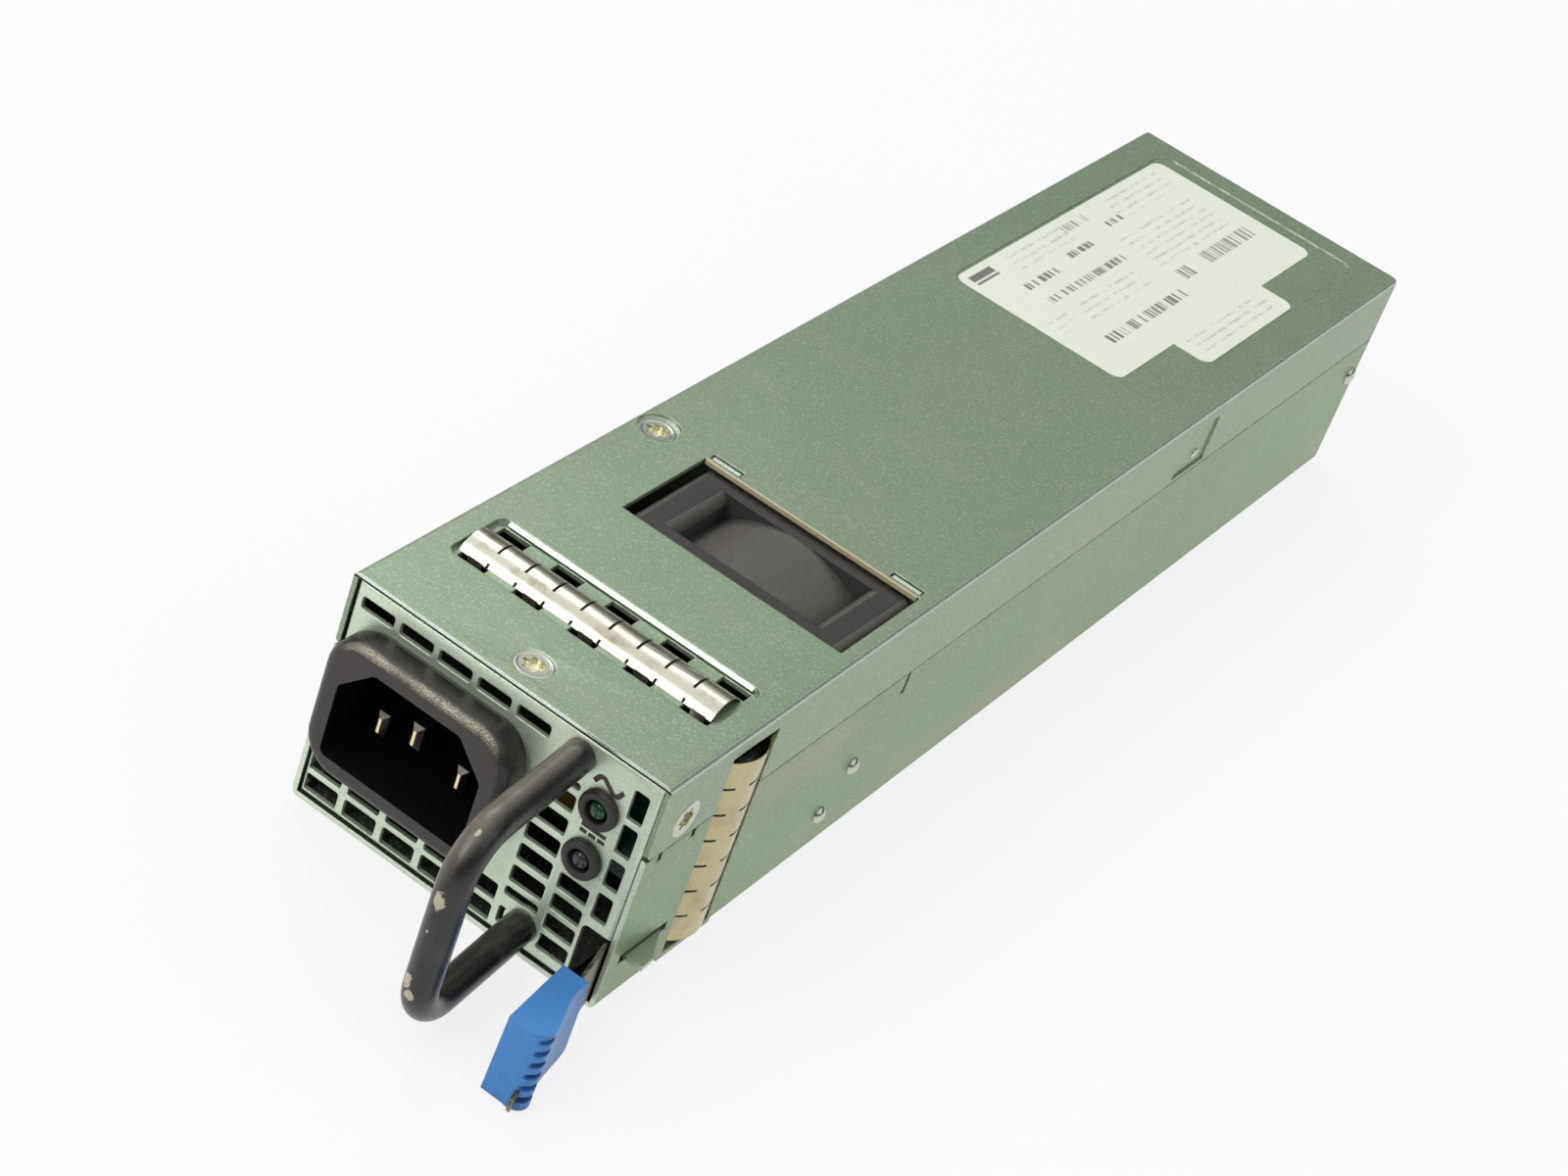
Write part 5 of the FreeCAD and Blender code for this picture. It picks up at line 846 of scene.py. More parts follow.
@dataclass(frozen=True)
class HandleCoat(Finish):
    """Dark coating on a bent rod, dusty and lighter on its upper sides that face the light, partly as painted
    light, with a few ragged chips that show pale metal.
    """

    stains: tuple[Stain, ...] = (Stain((0.13, 0.115, 0.095), 150.0, 0.5, 0.75, 0.35, detail=5.0, rough=0.7),)
    dust_and_light_way: Triple = (-0.45, -0.35, 0.82)
    dust_and_light_heights: tuple[float, float] = (14.0, 24.0)
    dust_and_painted_light: Triple = (0.26, 0.235, 0.19)
    metal_colour: Triple = (0.56, 0.50, 0.38)
    corner: tuple[float, float] = (0.0, 0.0)
    chips: tuple[tuple[Triple, Triple], ...] = (
        ((4.2, 4.9, 36.7), (0.3, 1.1, 0.35)),
        ((4.3, 0.3, 27.5), (0.8, 0.8, 1.6)),
        ((3.3, 0.3, 12.8), (0.8, 0.8, 1.3)),
        ((4.2, 0.1, 10.9), (0.8, 0.6, 0.8)),
        ((4.0, 0.2, 22.0), (0.3, 0.5, 0.25)),
    )

    def dusty_and_lit_sides(self, wires: Wiring, place: Socket) -> Socket:
        """Mask the upper sides that turn dusty and take a painted light.

        Args:
            wires: the material's wiring.
            place: the surface point.

        Returns:
            The mask.
        """
        low, high = self.dust_and_light_heights
        lift = wires.span(wires.vector("DOT_PRODUCT", wires.facing(), self.dust_and_light_way), 0.5, 1.0)
        mottled = wires.span(wires.noise(place, 150.0, 5.0, 0.7), 0.3, 0.6, 0.5, 0.8)
        return wires.times(lift, mottled, wires.span(wires.parts(place)[2], low * MM, high * MM, 0.15, 1.0))

    def colouring(self, wires: Wiring, place: Socket, base: Socket) -> Socket:
        """Add the dusty pale patches with their painted light, and the chips.

        Args:
            wires: the material's wiring.
            place: the surface point.
            base: the colour so far.

        Returns:
            The chipped colour.
        """
        torn = wires.span(wires.noise(place, 900.0, 4.0, 0.65), 0.3, 0.7, -0.4, 0.4)
        base = super().colouring(wires, place, base)
        # pale dusty patches with painted light on the upper sides that face the light
        base = wires.blend(self.dusty_and_lit_sides(wires, place), base, self.dust_and_painted_light)
        x, y = self.corner
        for (across, along, height), half in self.chips:
            centre = ((x + across) * MM, (y + along) * MM, height * MM)
            offset = wires.vector("SUBTRACT", place, centre)
            scaled = wires.vector("DIVIDE", offset, tuple(part * MM for part in half))
            away = wires.sum("ADD", wires.vector("LENGTH", scaled), torn)
            base = wires.blend(wires.span(away, 1.1, 0.9, 0.0, 0.95), base, self.metal_colour)
        return base


@dataclass(frozen=True)
class InletShell(Finish):
    """Black inlet plastic: a painted sparkling highlight where its upper rim is rounded, brown and dull on
    its front face.
    """

    dull: Triple = (0.040, 0.033, 0.028)
    sparkle: Triple = (0.80, 0.71, 0.54)

    def colouring(self, wires: Wiring, place: Socket, base: Socket) -> Socket:
        """Paint a sparkling highlight on the rounded rim and dull the front face.

        Args:
            wires: the material's wiring.
            place: the surface point.
            base: the colour so far.

        Returns:
            The marked colour.
        """
        parts = wires.parts(wires.facing())
        base = wires.blend(wires.times(wires.span(parts[1], -0.90, -0.99), 0.8), base, self.dull)
        # painted sparkling highlight on faces turned up and to the front
        upward = wires.sum("SUBTRACT", wires.times(parts[2], 0.66), wires.times(parts[1], 0.75))
        highlight_grain = wires.times(wires.span(wires.noise(place, 7500.0, 1.0), 0.40, 0.64, 0.05, 0.9),
                           wires.span(wires.noise(place, 130.0), 0.38, 0.6, 0.45, 1.0))
        return wires.blend(wires.times(wires.span(upward, 0.84, 0.985), highlight_grain), base, self.sparkle)


@dataclass(frozen=True)
class PinMetal(Finish):
    """Inlet pins: a painted highlight on the tips, and dark shanks painted as shade."""

    bright: Triple = (0.92, 0.76, 0.44)

    def colouring(self, wires: Wiring, place: Socket, base: Socket) -> Socket:
        """Paint a highlight on the faces that point out of the inlet."""
        return wires.blend(wires.span(wires.parts(wires.facing())[1], -0.9, -0.97), base, self.bright)


@dataclass(frozen=True)
class WornLeaf(Finish):
    """Spring steel with brown wear and long scratches, clean where the hook is."""

    stains: tuple[Stain, ...] = (
        Stain((0.085, 0.062, 0.04), 330.0, 0.45, 0.6, 0.85, detail=6.0, rough=0.72),
        Stain((0.62, 0.58, 0.50), 300.0, 0.6, 0.68, 0.7, detail=3.0, stretch=(20.0, 1.0, 20.0)),
    )
    hook_across: tuple[float, float] = (26.8, 27.2)
    hook_along: tuple[float, float] = (-112.0, -111.0)
    clean: Triple = (0.60, 0.65, 0.57)

    def colouring(self, wires: Wiring, place: Socket, base: Socket) -> Socket:
        """Add brown patches and scratches, and clean the hook.

        Args:
            wires: the material's wiring.
            place: the surface point.
            base: the colour so far.

        Returns:
            The worn colour.
        """
        base = super().colouring(wires, place, base)
        parts = wires.parts(place)
        behind = wires.span(parts[1], *(part * MM for part in self.hook_along))
        outside = wires.span(parts[0], *(part * MM for part in self.hook_across))
        return wires.blend(wires.times(behind, outside), base, self.clean)


@dataclass(frozen=True)
class LampLens(Finish):
    """Clear lamp resin: the upper lamp is tinted green, the lower one is dark."""

    tinted: tuple[Triple, Triple] = ((0.0, 0.0, 0.0), (1.0, 1.0, 1.0))
    tint: Triple = (0.03, 0.11, 0.045)

    def colouring(self, wires: Wiring, place: Socket, base: Socket) -> Socket:
        """Tint the upper lamp."""
        return wires.blend(self.patch(wires, place, *self.tinted), base, self.tint)


@dataclass(frozen=True)
class Mark:
    """A printed patch on the label: its corners from the label's corner, its kind and its ink's strength."""

    left: float
    right: float
    near: float
    far: float
    kind: Print
    ink: float


@dataclass(frozen=True)
class LabelPaper(Finish):
    """Pale label with plain printed bars, blocks and rules, a little soft at their edges."""

    corner: tuple[float, float] = (0.0, 0.0)
    ceiling: float = 60.0
    rule_pitch: float = 1.7
    marks: tuple[Mark, ...] = (
        Mark(8.2, 9.8, 9.5, 20.0, Print.BARS, 0.8),
        Mark(7.2, 8.6, 26.0, 34.0, Print.BARS, 0.8),
        Mark(12.8, 14.4, 10.0, 36.0, Print.BARS, 0.75),
        Mark(24.8, 27.0, 9.0, 36.0, Print.BARS, 0.8),
        Mark(1.8, 3.6, 32.5, 40.5, Print.BARS, 0.55),
        Mark(5.6, 7.0, 42.5, 47.5, Print.BARS, 0.9),
        Mark(21.4, 24.2, 40.5, 44.5, Print.BARS, 0.75),
        Mark(21.0, 24.0, 50.0, 68.0, Print.BARS, 0.6),
        Mark(1.5, 3.0, 2.0, 9.0, Print.SOLID, 0.85),
        Mark(3.4, 3.9, 2.0, 9.0, Print.SOLID, 0.85),
        Mark(1.5, 5.5, 14.0, 33.0, Print.LINES, 0.34),
        Mark(16.0, 22.0, 12.0, 33.0, Print.LINES, 0.34),
        Mark(10.0, 20.0, 40.0, 66.0, Print.LINES, 0.34),
        Mark(34.0, 38.5, 22.0, 49.0, Print.LINES, 0.34),
        Mark(1.5, 7.0, 48.0, 68.0, Print.LINES, 0.34),
        Mark(16.5, 20.5, 3.0, 9.0, Print.LINES, 0.34),
    )

    def patterns(self, wires: Wiring, place: Socket) -> dict[Print, Socket]:
        """Make the patterns that print is broken up by.

        Args:
            wires: the material's wiring.
            place: the surface point.

        Returns:
            A mask of stripes and one of broken rules.
        """
        stripes = wires.noise(wires.stretched(place, (0.02, 1.0, 0.02)), 1500.0, 1.0)
        gaps = wires.span(wires.noise(wires.stretched(place, (1.0, 0.35, 1.0)), 1500.0), 0.4, 0.6)
        wave = wires.sum("SINE", wires.times(wires.parts(place)[0], 2 * math.pi / (self.rule_pitch * MM)))
        rules = wires.times(wires.span(wave, 0.1, 0.9), gaps)
        return {Print.BARS: wires.span(stripes, 0.44, 0.54), Print.LINES: rules}

    def colouring(self, wires: Wiring, place: Socket, base: Socket) -> Socket:
        """Print the bars, the blocks and the rules.

        Args:
            wires: the material's wiring.
            place: the surface point.
            base: the colour so far.

        Returns:
            The printed colour.
        """
        x, y = self.corner
        patterns = self.patterns(wires, place)
        for mark in self.marks:
            border, colour = mark.kind.value
            mask = self.patch(wires, place, (x + mark.left, y + mark.near, 0.0),
                              (x + mark.right, y + mark.far, self.ceiling), border)
            if mark.kind in patterns:
                mask = wires.times(mask, patterns[mark.kind])
            base = wires.blend(wires.times(mask, mark.ink), base, colour)
        return base


# ---- the finishes by name ------------------------------------------------------------------------


def sheet_finishes() -> list[Finish]:
    """The zinc finishes of the case, from the tray to the painted highlights and the painted shade inside."""
    return [
        ZincSheet("zinc_steel", (0.325, 0.41, 0.29), (0.285, 0.36, 0.252)),
        ZincSheet("tray_zinc", (0.28, 0.37, 0.22), (0.245, 0.325, 0.19), stains=zinc_stains(0.3)),
        # painted highlight on the cover's front edge, with the gap's painted shadow across its lower part
        EdgeHighlightZinc("edge_highlight_shadow_zinc", (0.86, 0.92, 0.84), (0.80, 0.86, 0.78)),
        # painted highlight for the cover's bends and the bed's rear slope, which face the light
        HighlightZinc("painted_highlight_zinc", (0.56, 0.64, 0.55), (0.50, 0.58, 0.49)),
        # a paler copy of the zinc as painted light, for the front panel, the tray's front edge and the tops
        # of the bulkhead's tabs
        ZincSheet("painted_lit_zinc", (0.76, 0.86, 0.70), (0.70, 0.80, 0.645), rough=0.40,
                  edge_colour=(0.86, 0.92, 0.84), wear=0.6, dirt=0.3, dirt_and_shade_reach=0.6, specular=0.5),
        # near-black zinc as painted shade on faces inside the case
        ZincSheet("painted_shade_zinc", (0.05, 0.056, 0.046), (0.035, 0.04, 0.033), rough=0.6, rough_swing=0.1,
                  grain=0.3, speckle=0.06, bump=0.02, edge=0.2, edge_colour=(0.10, 0.11, 0.09), wear=0.2,
                  dirt=0.8, dirt_and_shade_reach=6.0, specular=0.5),
    ]


def metal_finishes() -> list[Finish]:
    """The finishes of the latch, the strips, the screws and the bare metal inside."""
    return [
        WornLeaf("spring_steel", (0.22, 0.195, 0.155), (0.16, 0.14, 0.11), Metal.BARE, rough=0.36,
                 clouds=120.0, edge_colour=(0.66, 0.62, 0.54), wear=0.6),
        # the top finger strip takes a paler, brighter copy of the strips' tin as painted light
        SpringTin("lit_top_tin", (0.76, 0.73, 0.61), (0.54, 0.49, 0.35), rough=0.22,
                  edge_colour=(0.95, 0.95, 0.92), wear=0.5),
        SpringTin("gasket_metal", (0.57, 0.51, 0.285), (0.465, 0.415, 0.225), rough=0.28,
                  edge_colour=(0.9, 0.88, 0.8)),
        Finish("screw_metal", (0.60, 0.62, 0.54), (0.53, 0.54, 0.46), Metal.BARE, rough=0.24, grain=0.03,
               speckle=0.0, bump=0.003, edge=0.12, edge_colour=(0.95, 0.96, 0.9), wear=0.8, dirt=0.0),
        Finish("recess_gold", (0.78, 0.76, 0.52), (0.66, 0.64, 0.42), Metal.BARE, rough=0.35, grain=0.1,
               speckle=0.0, edge=0.1, edge_colour=(0.95, 0.94, 0.8), dirt=0.0),
        # gold pins painted dark as shade, with painted highlights on the tips and a bright edge colour
        PinMetal("pin_painted_light", (0.05, 0.045, 0.038), (0.07, 0.06, 0.05), Metal.BARE, rough=0.25, grain=0.2,
                 edge=0.18, edge_colour=(0.75, 0.68, 0.5), wear=0.8, dirt=0.2),
        Finish("gold", (0.80, 0.60, 0.26), (0.70, 0.52, 0.22), Metal.BARE, rough=0.22, grain=0.2, edge=0.15,
               edge_colour=(0.98, 0.86, 0.55), wear=0.6, dirt=0.3),
        Finish("copper", (0.62, 0.27, 0.12), (0.48, 0.20, 0.09), Metal.BARE, rough=0.3, grain=0.4,
               clouds=180.0, edge=0.1, edge_colour=(0.8, 0.45, 0.25)),
        Finish("aluminium", (0.62, 0.63, 0.63), (0.54, 0.55, 0.55), Metal.BARE, rough=0.34, grain=0.5,
               edge_colour=(0.85, 0.85, 0.85)),
    ]


def plastic_finishes() -> list[Finish]:
    """The finishes of the inlet, the handle, the grip, the lamps and the fan.

    Returns:
        The finishes, with the handle's chips and the upper lamp's tint placed from the frame.
    """
    handle, _ = size_of("handle_bar")
    low, high = size_of("led_lenses")
    margin = 1.0
    tinted = ((low.x - margin, low.y - margin, 27.0), (high.x + margin, high.y + margin, 33.0))
    return [
        Finish("black_plastic", (0.028, 0.026, 0.023), (0.040, 0.036, 0.031), rough=0.42, grain=0.35,
               speckle=0.2, bump=0.03, edge_colour=(0.12, 0.11, 0.10), wear=0.5),
        InletShell("inlet_plastic", (0.022, 0.020, 0.018), (0.032, 0.029, 0.026), rough=0.36, speckle=0.25,
                   bump=0.05, edge=0.3, edge_colour=(0.09, 0.085, 0.078)),
        # near-black for the inlet's cavity: black plastic, darkened further as painted shade
        Finish("cavity_black_and_shade", (0.004, 0.004, 0.004), (0.006, 0.006, 0.005), rough=0.6, specular=0.12,
               wear=0.0, dirt=0.6),
        Finish("blue_plastic", (0.058, 0.25, 0.64), (0.068, 0.275, 0.68), rough=0.38, grain=0.4,
               speckle=0.05, edge=0.15, edge_colour=(0.16, 0.38, 0.74), wear=0.4, dirt=0.7,
               dirt_and_shade_colour=(0.012, 0.03, 0.08)),
        HandleCoat("handle_coat", (0.013, 0.012, 0.011), (0.024, 0.021, 0.019), rough=0.28, speckle=0.3,
                   bump=0.05, edge=0.1, wear=0.2, dirt=0.3, corner=(handle.x, handle.y)),
        LampLens("lens", (0.055, 0.050, 0.047), (0.085, 0.078, 0.074), rough=0.10, rough_swing=0.03,
                 speckle=0.02, bump=0.002, edge=0.1, edge_colour=(0.8, 0.85, 0.8), wear=0.15, dirt=0.2,
                 clear=0.3, tinted=tinted),
        Finish("dusty_plastic", (0.085, 0.079, 0.068), (0.11, 0.102, 0.088), grain=0.5, speckle=0.1,
               edge=0.3, edge_colour=(0.2, 0.19, 0.165), wear=0.6, dirt=0.3),
        Finish("fan_plastic", (0.048, 0.046, 0.042), (0.064, 0.060, 0.055), grain=0.5, speckle=0.1,
               edge=0.3, edge_colour=(0.15, 0.145, 0.135), wear=0.5, dirt=0.45),
        Finish("rubber", (0.02, 0.02, 0.02), (0.034, 0.034, 0.033), rough=0.75, wear=0.2,
               edge_colour=(0.07, 0.07, 0.07)),
        Finish("sign_paint", (0.05, 0.045, 0.035), (0.07, 0.06, 0.045), rough=0.6, grain=0.2, speckle=0.3,
               edge=0.05, wear=0.1, dirt=0.0),
    ]


def board_finishes() -> list[Finish]:
    """The finishes of the boards, of what stands on them and of the label."""
    label, _ = size_of("rating_label")
    return [
        Finish("board", (0.008, 0.045, 0.022), (0.011, 0.06, 0.03), rough=0.35, grain=0.6, clouds=90.0,
               edge=0.1, edge_colour=(0.35, 0.33, 0.2), wear=0.4, coat=0.3),
        Finish("film", (0.66, 0.58, 0.36), (0.58, 0.50, 0.30), rough=0.3, grain=0.8, speckle=0.02, wear=0.2),
        Finish("ferrite", (0.055, 0.055, 0.058), (0.075, 0.075, 0.078), rough=0.6, grain=0.5, speckle=0.2,
               bump=0.05, edge_colour=(0.2, 0.2, 0.2)),
        Finish("tape", (0.40, 0.30, 0.05), (0.34, 0.25, 0.04), rough=0.35, grain=1.2, speckle=0.04,
               wear=0.2, edge_colour=(0.75, 0.62, 0.2)),
        Finish("capacitor_sleeve", (0.012, 0.012, 0.012), (0.022, 0.022, 0.03), rough=0.28, grain=0.8,
               speckle=0.05, bump=0.01, edge_colour=(0.2, 0.2, 0.22)),
        Finish("capacitor_box", (0.42, 0.30, 0.04), (0.38, 0.26, 0.035), rough=0.4, grain=0.4,
               edge_colour=(0.6, 0.5, 0.2)),
        Finish("silicone", (0.62, 0.62, 0.60), (0.55, 0.55, 0.52), grain=1.0, bump=0.1, wear=0.1),
        Finish("wire", (0.30, 0.02, 0.016), (0.22, 0.016, 0.014), rough=0.4, grain=0.5, wear=0.1),
        Finish("magnet", (0.08, 0.08, 0.085), (0.06, 0.06, 0.064), rough=0.55, grain=0.4, speckle=0.15),
        LabelPaper("label_paper", (0.84, 0.86, 0.76), (0.80, 0.82, 0.72), grain=0.5, speckle=0.015,
                   bump=0.004, edge=0.1, edge_colour=(0.8, 0.8, 0.74), wear=0.2, dirt=0.1,
                   corner=(label.x, label.y)),
    ]


class Finishes:
    """All the finishes, with their materials made when first asked for."""

    def __init__(self, finishes: Iterable[Finish]) -> None:
        """Keep the finishes by their slot."""
        self.by_slot = {finish.slot: finish for finish in finishes}
        self.made: dict[str, bpy.types.Material] = {}

    def material(self, slot: str) -> bpy.types.Material:
        """The material of a slot, made once.

        Args:
            slot: the slot's name.

        Returns:
            The material.
        """
        if slot not in self.made:
            self.made[slot] = self.by_slot[slot].build()
        return self.made[slot]


FINISHES = Finishes(sheet_finishes() + metal_finishes() + plastic_finishes() + board_finishes())


# ---- sub-assemblies ------------------------------------------------------------------------------


@dataclass
class Assembly:
    """A sub-assembly. It builds its pieces, dresses them and puts them on their body."""

    body: Body = Body.HOUSING

    def place(self, piece: Piece, slot: str, nodes: Sequence[str] = (), finish: str | None = None,
              body: Body | None = None) -> Piece:
        """Dress a finished piece and put it on a body.

        Args:
            piece: the finished piece.
            slot: the record's material slot that it takes its finish from.
            nodes: the frame nodes that it stands for.
            finish: the finish, where it isn't the slot's own.
            body: the body that it rides on, where it isn't the assembly's.

        Returns:
            The same piece.
        """
        piece.data.materials.clear()
        piece.data.materials.append(FINISHES.material(finish or slot))
        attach(piece, (body or self.body).value)
        if nodes:
            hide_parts(*nodes)
        log.info("%s: %s, %d faces", type(self).__name__, piece.name, len(piece.data.polygons))
        return piece

    def copy(self, node: str, slot: str, name: str, finish: str | None = None, body: Body | None = None,
             angle: float = 32.0) -> Piece:
        """Make a smooth copy of a node that stands for it.

        Args:
            node: the frame node.
            slot: its material slot.
            name: the piece's name.
            finish: the finish, where it isn't the slot's own.
            body: the body that it rides on, where it isn't the assembly's.
            angle: the angle in degrees under which faces are shaded as one surface.

        Returns:
            The placed piece.
        """
        return self.place(copy_of(node, name, angle), slot, [node], finish, body)


def refinish(piece: Piece, slot: str, chosen: FaceTest) -> None:
    """Give some faces of a piece another finish.

    Args:
        piece: the piece, with its first finish on.
        slot: the other finish.
        chosen: tells from a face's centre in millimetres and its normal whether it takes the other finish.
    """
    index = len(piece.data.materials)
    piece.data.materials.append(FINISHES.material(slot))
    for face in piece.data.polygons:
        if chosen(face.center / MM, face.normal):
            face.material_index = index


@dataclass
class Case(Assembly):
    """The sheet metal: tray, cover, rear panel, the fan's bulkhead and what fastens them."""

    head_radius: float = 3.0
    shank_radius: float = 1.5
    head_depth: float = 1.5
    screw_length: float = 3.6
    recess_radius: float = 1.75
    recess_depth: float = 0.8
    recess_start: float = 0.15
    recess_end: float = 0.9
    lobes: int = 6
    lobe_waist: float = 0.72
    screw_crease: float = 25.0
    top_screw: Triple = (0.0, -109.2, 40.0)
    rear_screw: Triple = (-23.05, -48.5, 39.7)
    side_screw: Triple = (27.25, -106.6, 30.8)
    ramp_low: Triple = (-21.6, -87.06, 39.32)
    ramp_high: Triple = (21.6, -86.52, 39.42)
    film_low: Triple = (-14.0, -48.42, 39.3)
    film_high: Triple = (24.5, -48.03, 40.1)
    rivet_depth: float = 2.0
    floor_top: float = 0.5
    wall: float = 0.6
    tray_front: float = -113.6
    skin_height: float = 39.0
    tab_height: float = 38.5
    bend_height: float = 38.0
    bend_start: float = 26.0
    flange_inside: float = 26.6
    flange_height: float = 37.0
    bed: tuple[float, float] = (-110.0, -80.0)
    rivets: tuple[tuple[float, float, float, float, float, str], ...] = (
        (27.25, -54.8, 13.2, 1.4, 0.9, "latch_rivets"),
        (27.25, -60.3, 6.5, 1.4, 0.9, "latch_rivets"),
        (27.25, 111.7, 20.0, 1.75, 0.9, "rear_rivets"),
        (-27.25, 111.7, 20.0, 1.75, 0.9, "rear_rivets"),
        (26.9, 42.2, 30.7, 1.0, 0.45, "flange_rivets"),
        (-26.9, 42.2, 30.7, 1.0, 0.45, "flange_rivets"),
    )

    def six_lobe_tool(self, centre: Sequence[float], axis: Axis, way: int) -> Piece:
        """Build the shape of the driver's recess.

        Args:
            centre: the middle of the screw's head.
            axis: the screw's axis.
            way: the direction into the sheet along the axis.

        Returns:
            The tool, a six-lobed plug.
        """
        radius, depth, waist = self.recess_radius, self.recess_depth, self.lobe_waist
        rings = [(radius, -0.4), (radius, depth * 0.8), (radius * 0.72, depth)]
        tool = turned("recess_tool", rings, centre, axis, way, sides=36)
        middle = Vector(centre) * MM

        def between_lobes(vertex: bpy.types.MeshVertex) -> bool:
            """Tell whether a vertex lies between two lobes.

            Args:
                vertex: one of the plug's vertices.

            Returns:
                Whether it is drawn in.
            """
            out = vertex.co - middle
            first, second = [part for part, skip in zip(out, axis.value) if not skip]
            return math.cos(self.lobes * math.atan2(second, first)) < -0.4

        choose(tool, Part.VERTEX, between_lobes)
        with editing(None):
            factors = [1.0 if part else waist for part in axis.value]
            bpy.ops.transform.resize(value=factors, center_override=middle)
        return tool

    def screw(self, name: str, centre: Sequence[float], axis: Axis, way: int) -> Piece:
        """Build one flat screw with a raised ring and a six-lobe recess.

        Args:
            name: the piece's name.
            centre: the middle of its head.
            axis: its axis.
            way: the direction into the sheet along the axis.

        Returns:
            The screw.
        """
        radius, shank, length = self.head_radius, self.shank_radius, self.screw_length
        rings = [(radius * 0.76, 0.07), (radius * 0.82, -0.02), (radius * 0.94, -0.02), (radius, 0.1),
                 (radius, 0.3), (shank, self.head_depth), (shank, length - 0.4), (shank * 0.75, length)]
        piece = turned(name, rings, centre, axis, way)
        cut_with(piece, self.six_lobe_tool(centre, axis, way))
        soften(piece, self.screw_crease)
        return piece

    def screws(self) -> None:
        """Build the four cover screws as one piece."""
        x, y, z = self.side_screw
        heads = (("screw_top", self.top_screw, Axis.Z, -1), ("screw_rear", self.rear_screw, Axis.Z, -1),
                 ("screw_right", (x, y, z), Axis.X, -1), ("screw_left", (-x, y, z), Axis.X, 1))
        piece = join("six_lobe_screws", [self.screw(*head) for head in heads])
        soften(piece, self.screw_crease)
        self.place(piece, "screw_metal", ["cover_screws"])
        places = [(centre, axis) for _, centre, axis, _ in heads]
        refinish(piece, "recess_gold", lambda spot, way: self.in_recess(spot, places))

    def in_recess(self, spot: Vector, heads: Sequence[tuple[Triple, Axis]]) -> bool:
        """Tell whether a point lies inside the driver's recess of one of the screws.

        Args:
            spot: the point.
            heads: the centre and the axis of each screw's head.

        Returns:
            Whether it lies inside one.
        """
        for centre, axis in heads:
            away = spot - Vector(centre)
            along = axis.vector()
            depth = abs(away.dot(along))
            sideways = (away - along * away.dot(along)).length
            if self.recess_start < depth < self.recess_end and sideways < self.recess_radius:
                return True
        return False

    def rivet_domes(self) -> None:
        """Build the rivets, grouped as their nodes are."""
        groups: dict[str, list[Piece]] = {}
        for x, y, z, radius, rise, node in self.rivets:
            neck = radius * 0.55
            rings = [(neck, -self.rivet_depth), (neck, 0.0), (radius, 0.0)]
            rings += [(radius * math.cos(math.radians(step)), rise * math.sin(math.radians(step)))
                      for step in (15, 32, 50, 67, 82)]
            way = 1 if x > 0 else -1
            groups.setdefault(node, []).append(turned("rivet", rings, (x, y, z), Axis.X, way, sides=32))
        for node, made in groups.items():
            piece = join(node + "_domes", made)
            soften(piece, 40.0)
            self.place(piece, "screw_metal", [node])

    def ramp(self) -> None:
        """Build a thin plate with a painted highlight on the slope at the back of the pressed bed that holds
        the top finger strip.
        """
        piece = plate("bed_ramp_highlight", self.ramp_low, self.ramp_high)
        for vertex in piece.data.vertices:
            vertex.co.z += vertex.co.y - self.ramp_low[1] * MM
        self.place(piece, "zinc_steel", finish="painted_highlight_zinc")

    def tray(self) -> None:
        """Dress the tray, with painted shade on its inside and a painted highlight on its front edge."""
        inside = size_of("chassis_tray")[1].x - self.wall
        tray = self.copy("chassis_tray", "zinc_steel", "tray_sheet", "tray_zinc")
        refinish(tray, "painted_shade_zinc", lambda spot, way: spot.z > self.floor_top and abs(spot.x) < inside
                 and spot.x * way.x <= 0.0)
        refinish(tray, "painted_lit_zinc", lambda spot, way: spot.y < self.tray_front and way.y < -0.5)

    def cover(self) -> None:
        """Dress the cover: a painted highlight and the gap's painted shadow on its front edge, painted
        highlights on its bends and bed, and painted shade on its inside.
        """
        near, far = self.bed
        cover = self.copy("top_cover", "zinc_steel", "cover_sheet")
        # painted highlight on the cover's front edge, with the gap's painted shadow
        refinish(cover, "edge_highlight_shadow_zinc", lambda spot, way: way.y < -0.5 and spot.y < FRONT
                 and spot.z > self.skin_height)
        # painted highlights on the bends at the top of the sides and on the bed's rear slope
        refinish(cover, "painted_highlight_zinc", lambda spot, way: 0.4 < abs(way.x) < 0.99 and way.z > 0.1
                 and spot.z > self.bend_height and abs(spot.x) > self.bend_start)
        refinish(cover, "painted_highlight_zinc", lambda spot, way: way.y < -0.25 and spot.z > self.skin_height
                 and near < spot.y < far)
        # painted shade on the cover's underside and inner flanges
        refinish(cover, "painted_shade_zinc", lambda spot, way: way.z < -0.5
                 or (abs(spot.x) < self.flange_inside and spot.z < self.flange_height))

    def build(self) -> None:
        """Build and dress the sheet metal."""
        self.tray()
        self.cover()
        self.copy("rear_panel", "zinc_steel", "rear_sheet")
        # painted highlight on the top faces of the bulkhead's tabs
        refinish(self.copy("fan_bulkhead", "zinc_steel", "bulkhead_sheet"), "painted_lit_zinc",
                 lambda spot, way: way.z > 0.9 and spot.z > self.tab_height)
        self.place(plate("window_film_edge", self.film_low, self.film_high), "film")
        # the top strip in the paler copy of the tin, as painted light
        self.copy("top_gasket", "gasket_metal", "top_finger_strip", "lit_top_tin")
        self.copy("right_gasket", "gasket_metal", "right_finger_strip")
        self.copy("left_gasket", "gasket_metal", "left_finger_strip")
        self.copy("rating_label", "label_paper", "bare_rating_label")
        self.ramp()
        self.screws()
        self.rivet_domes()


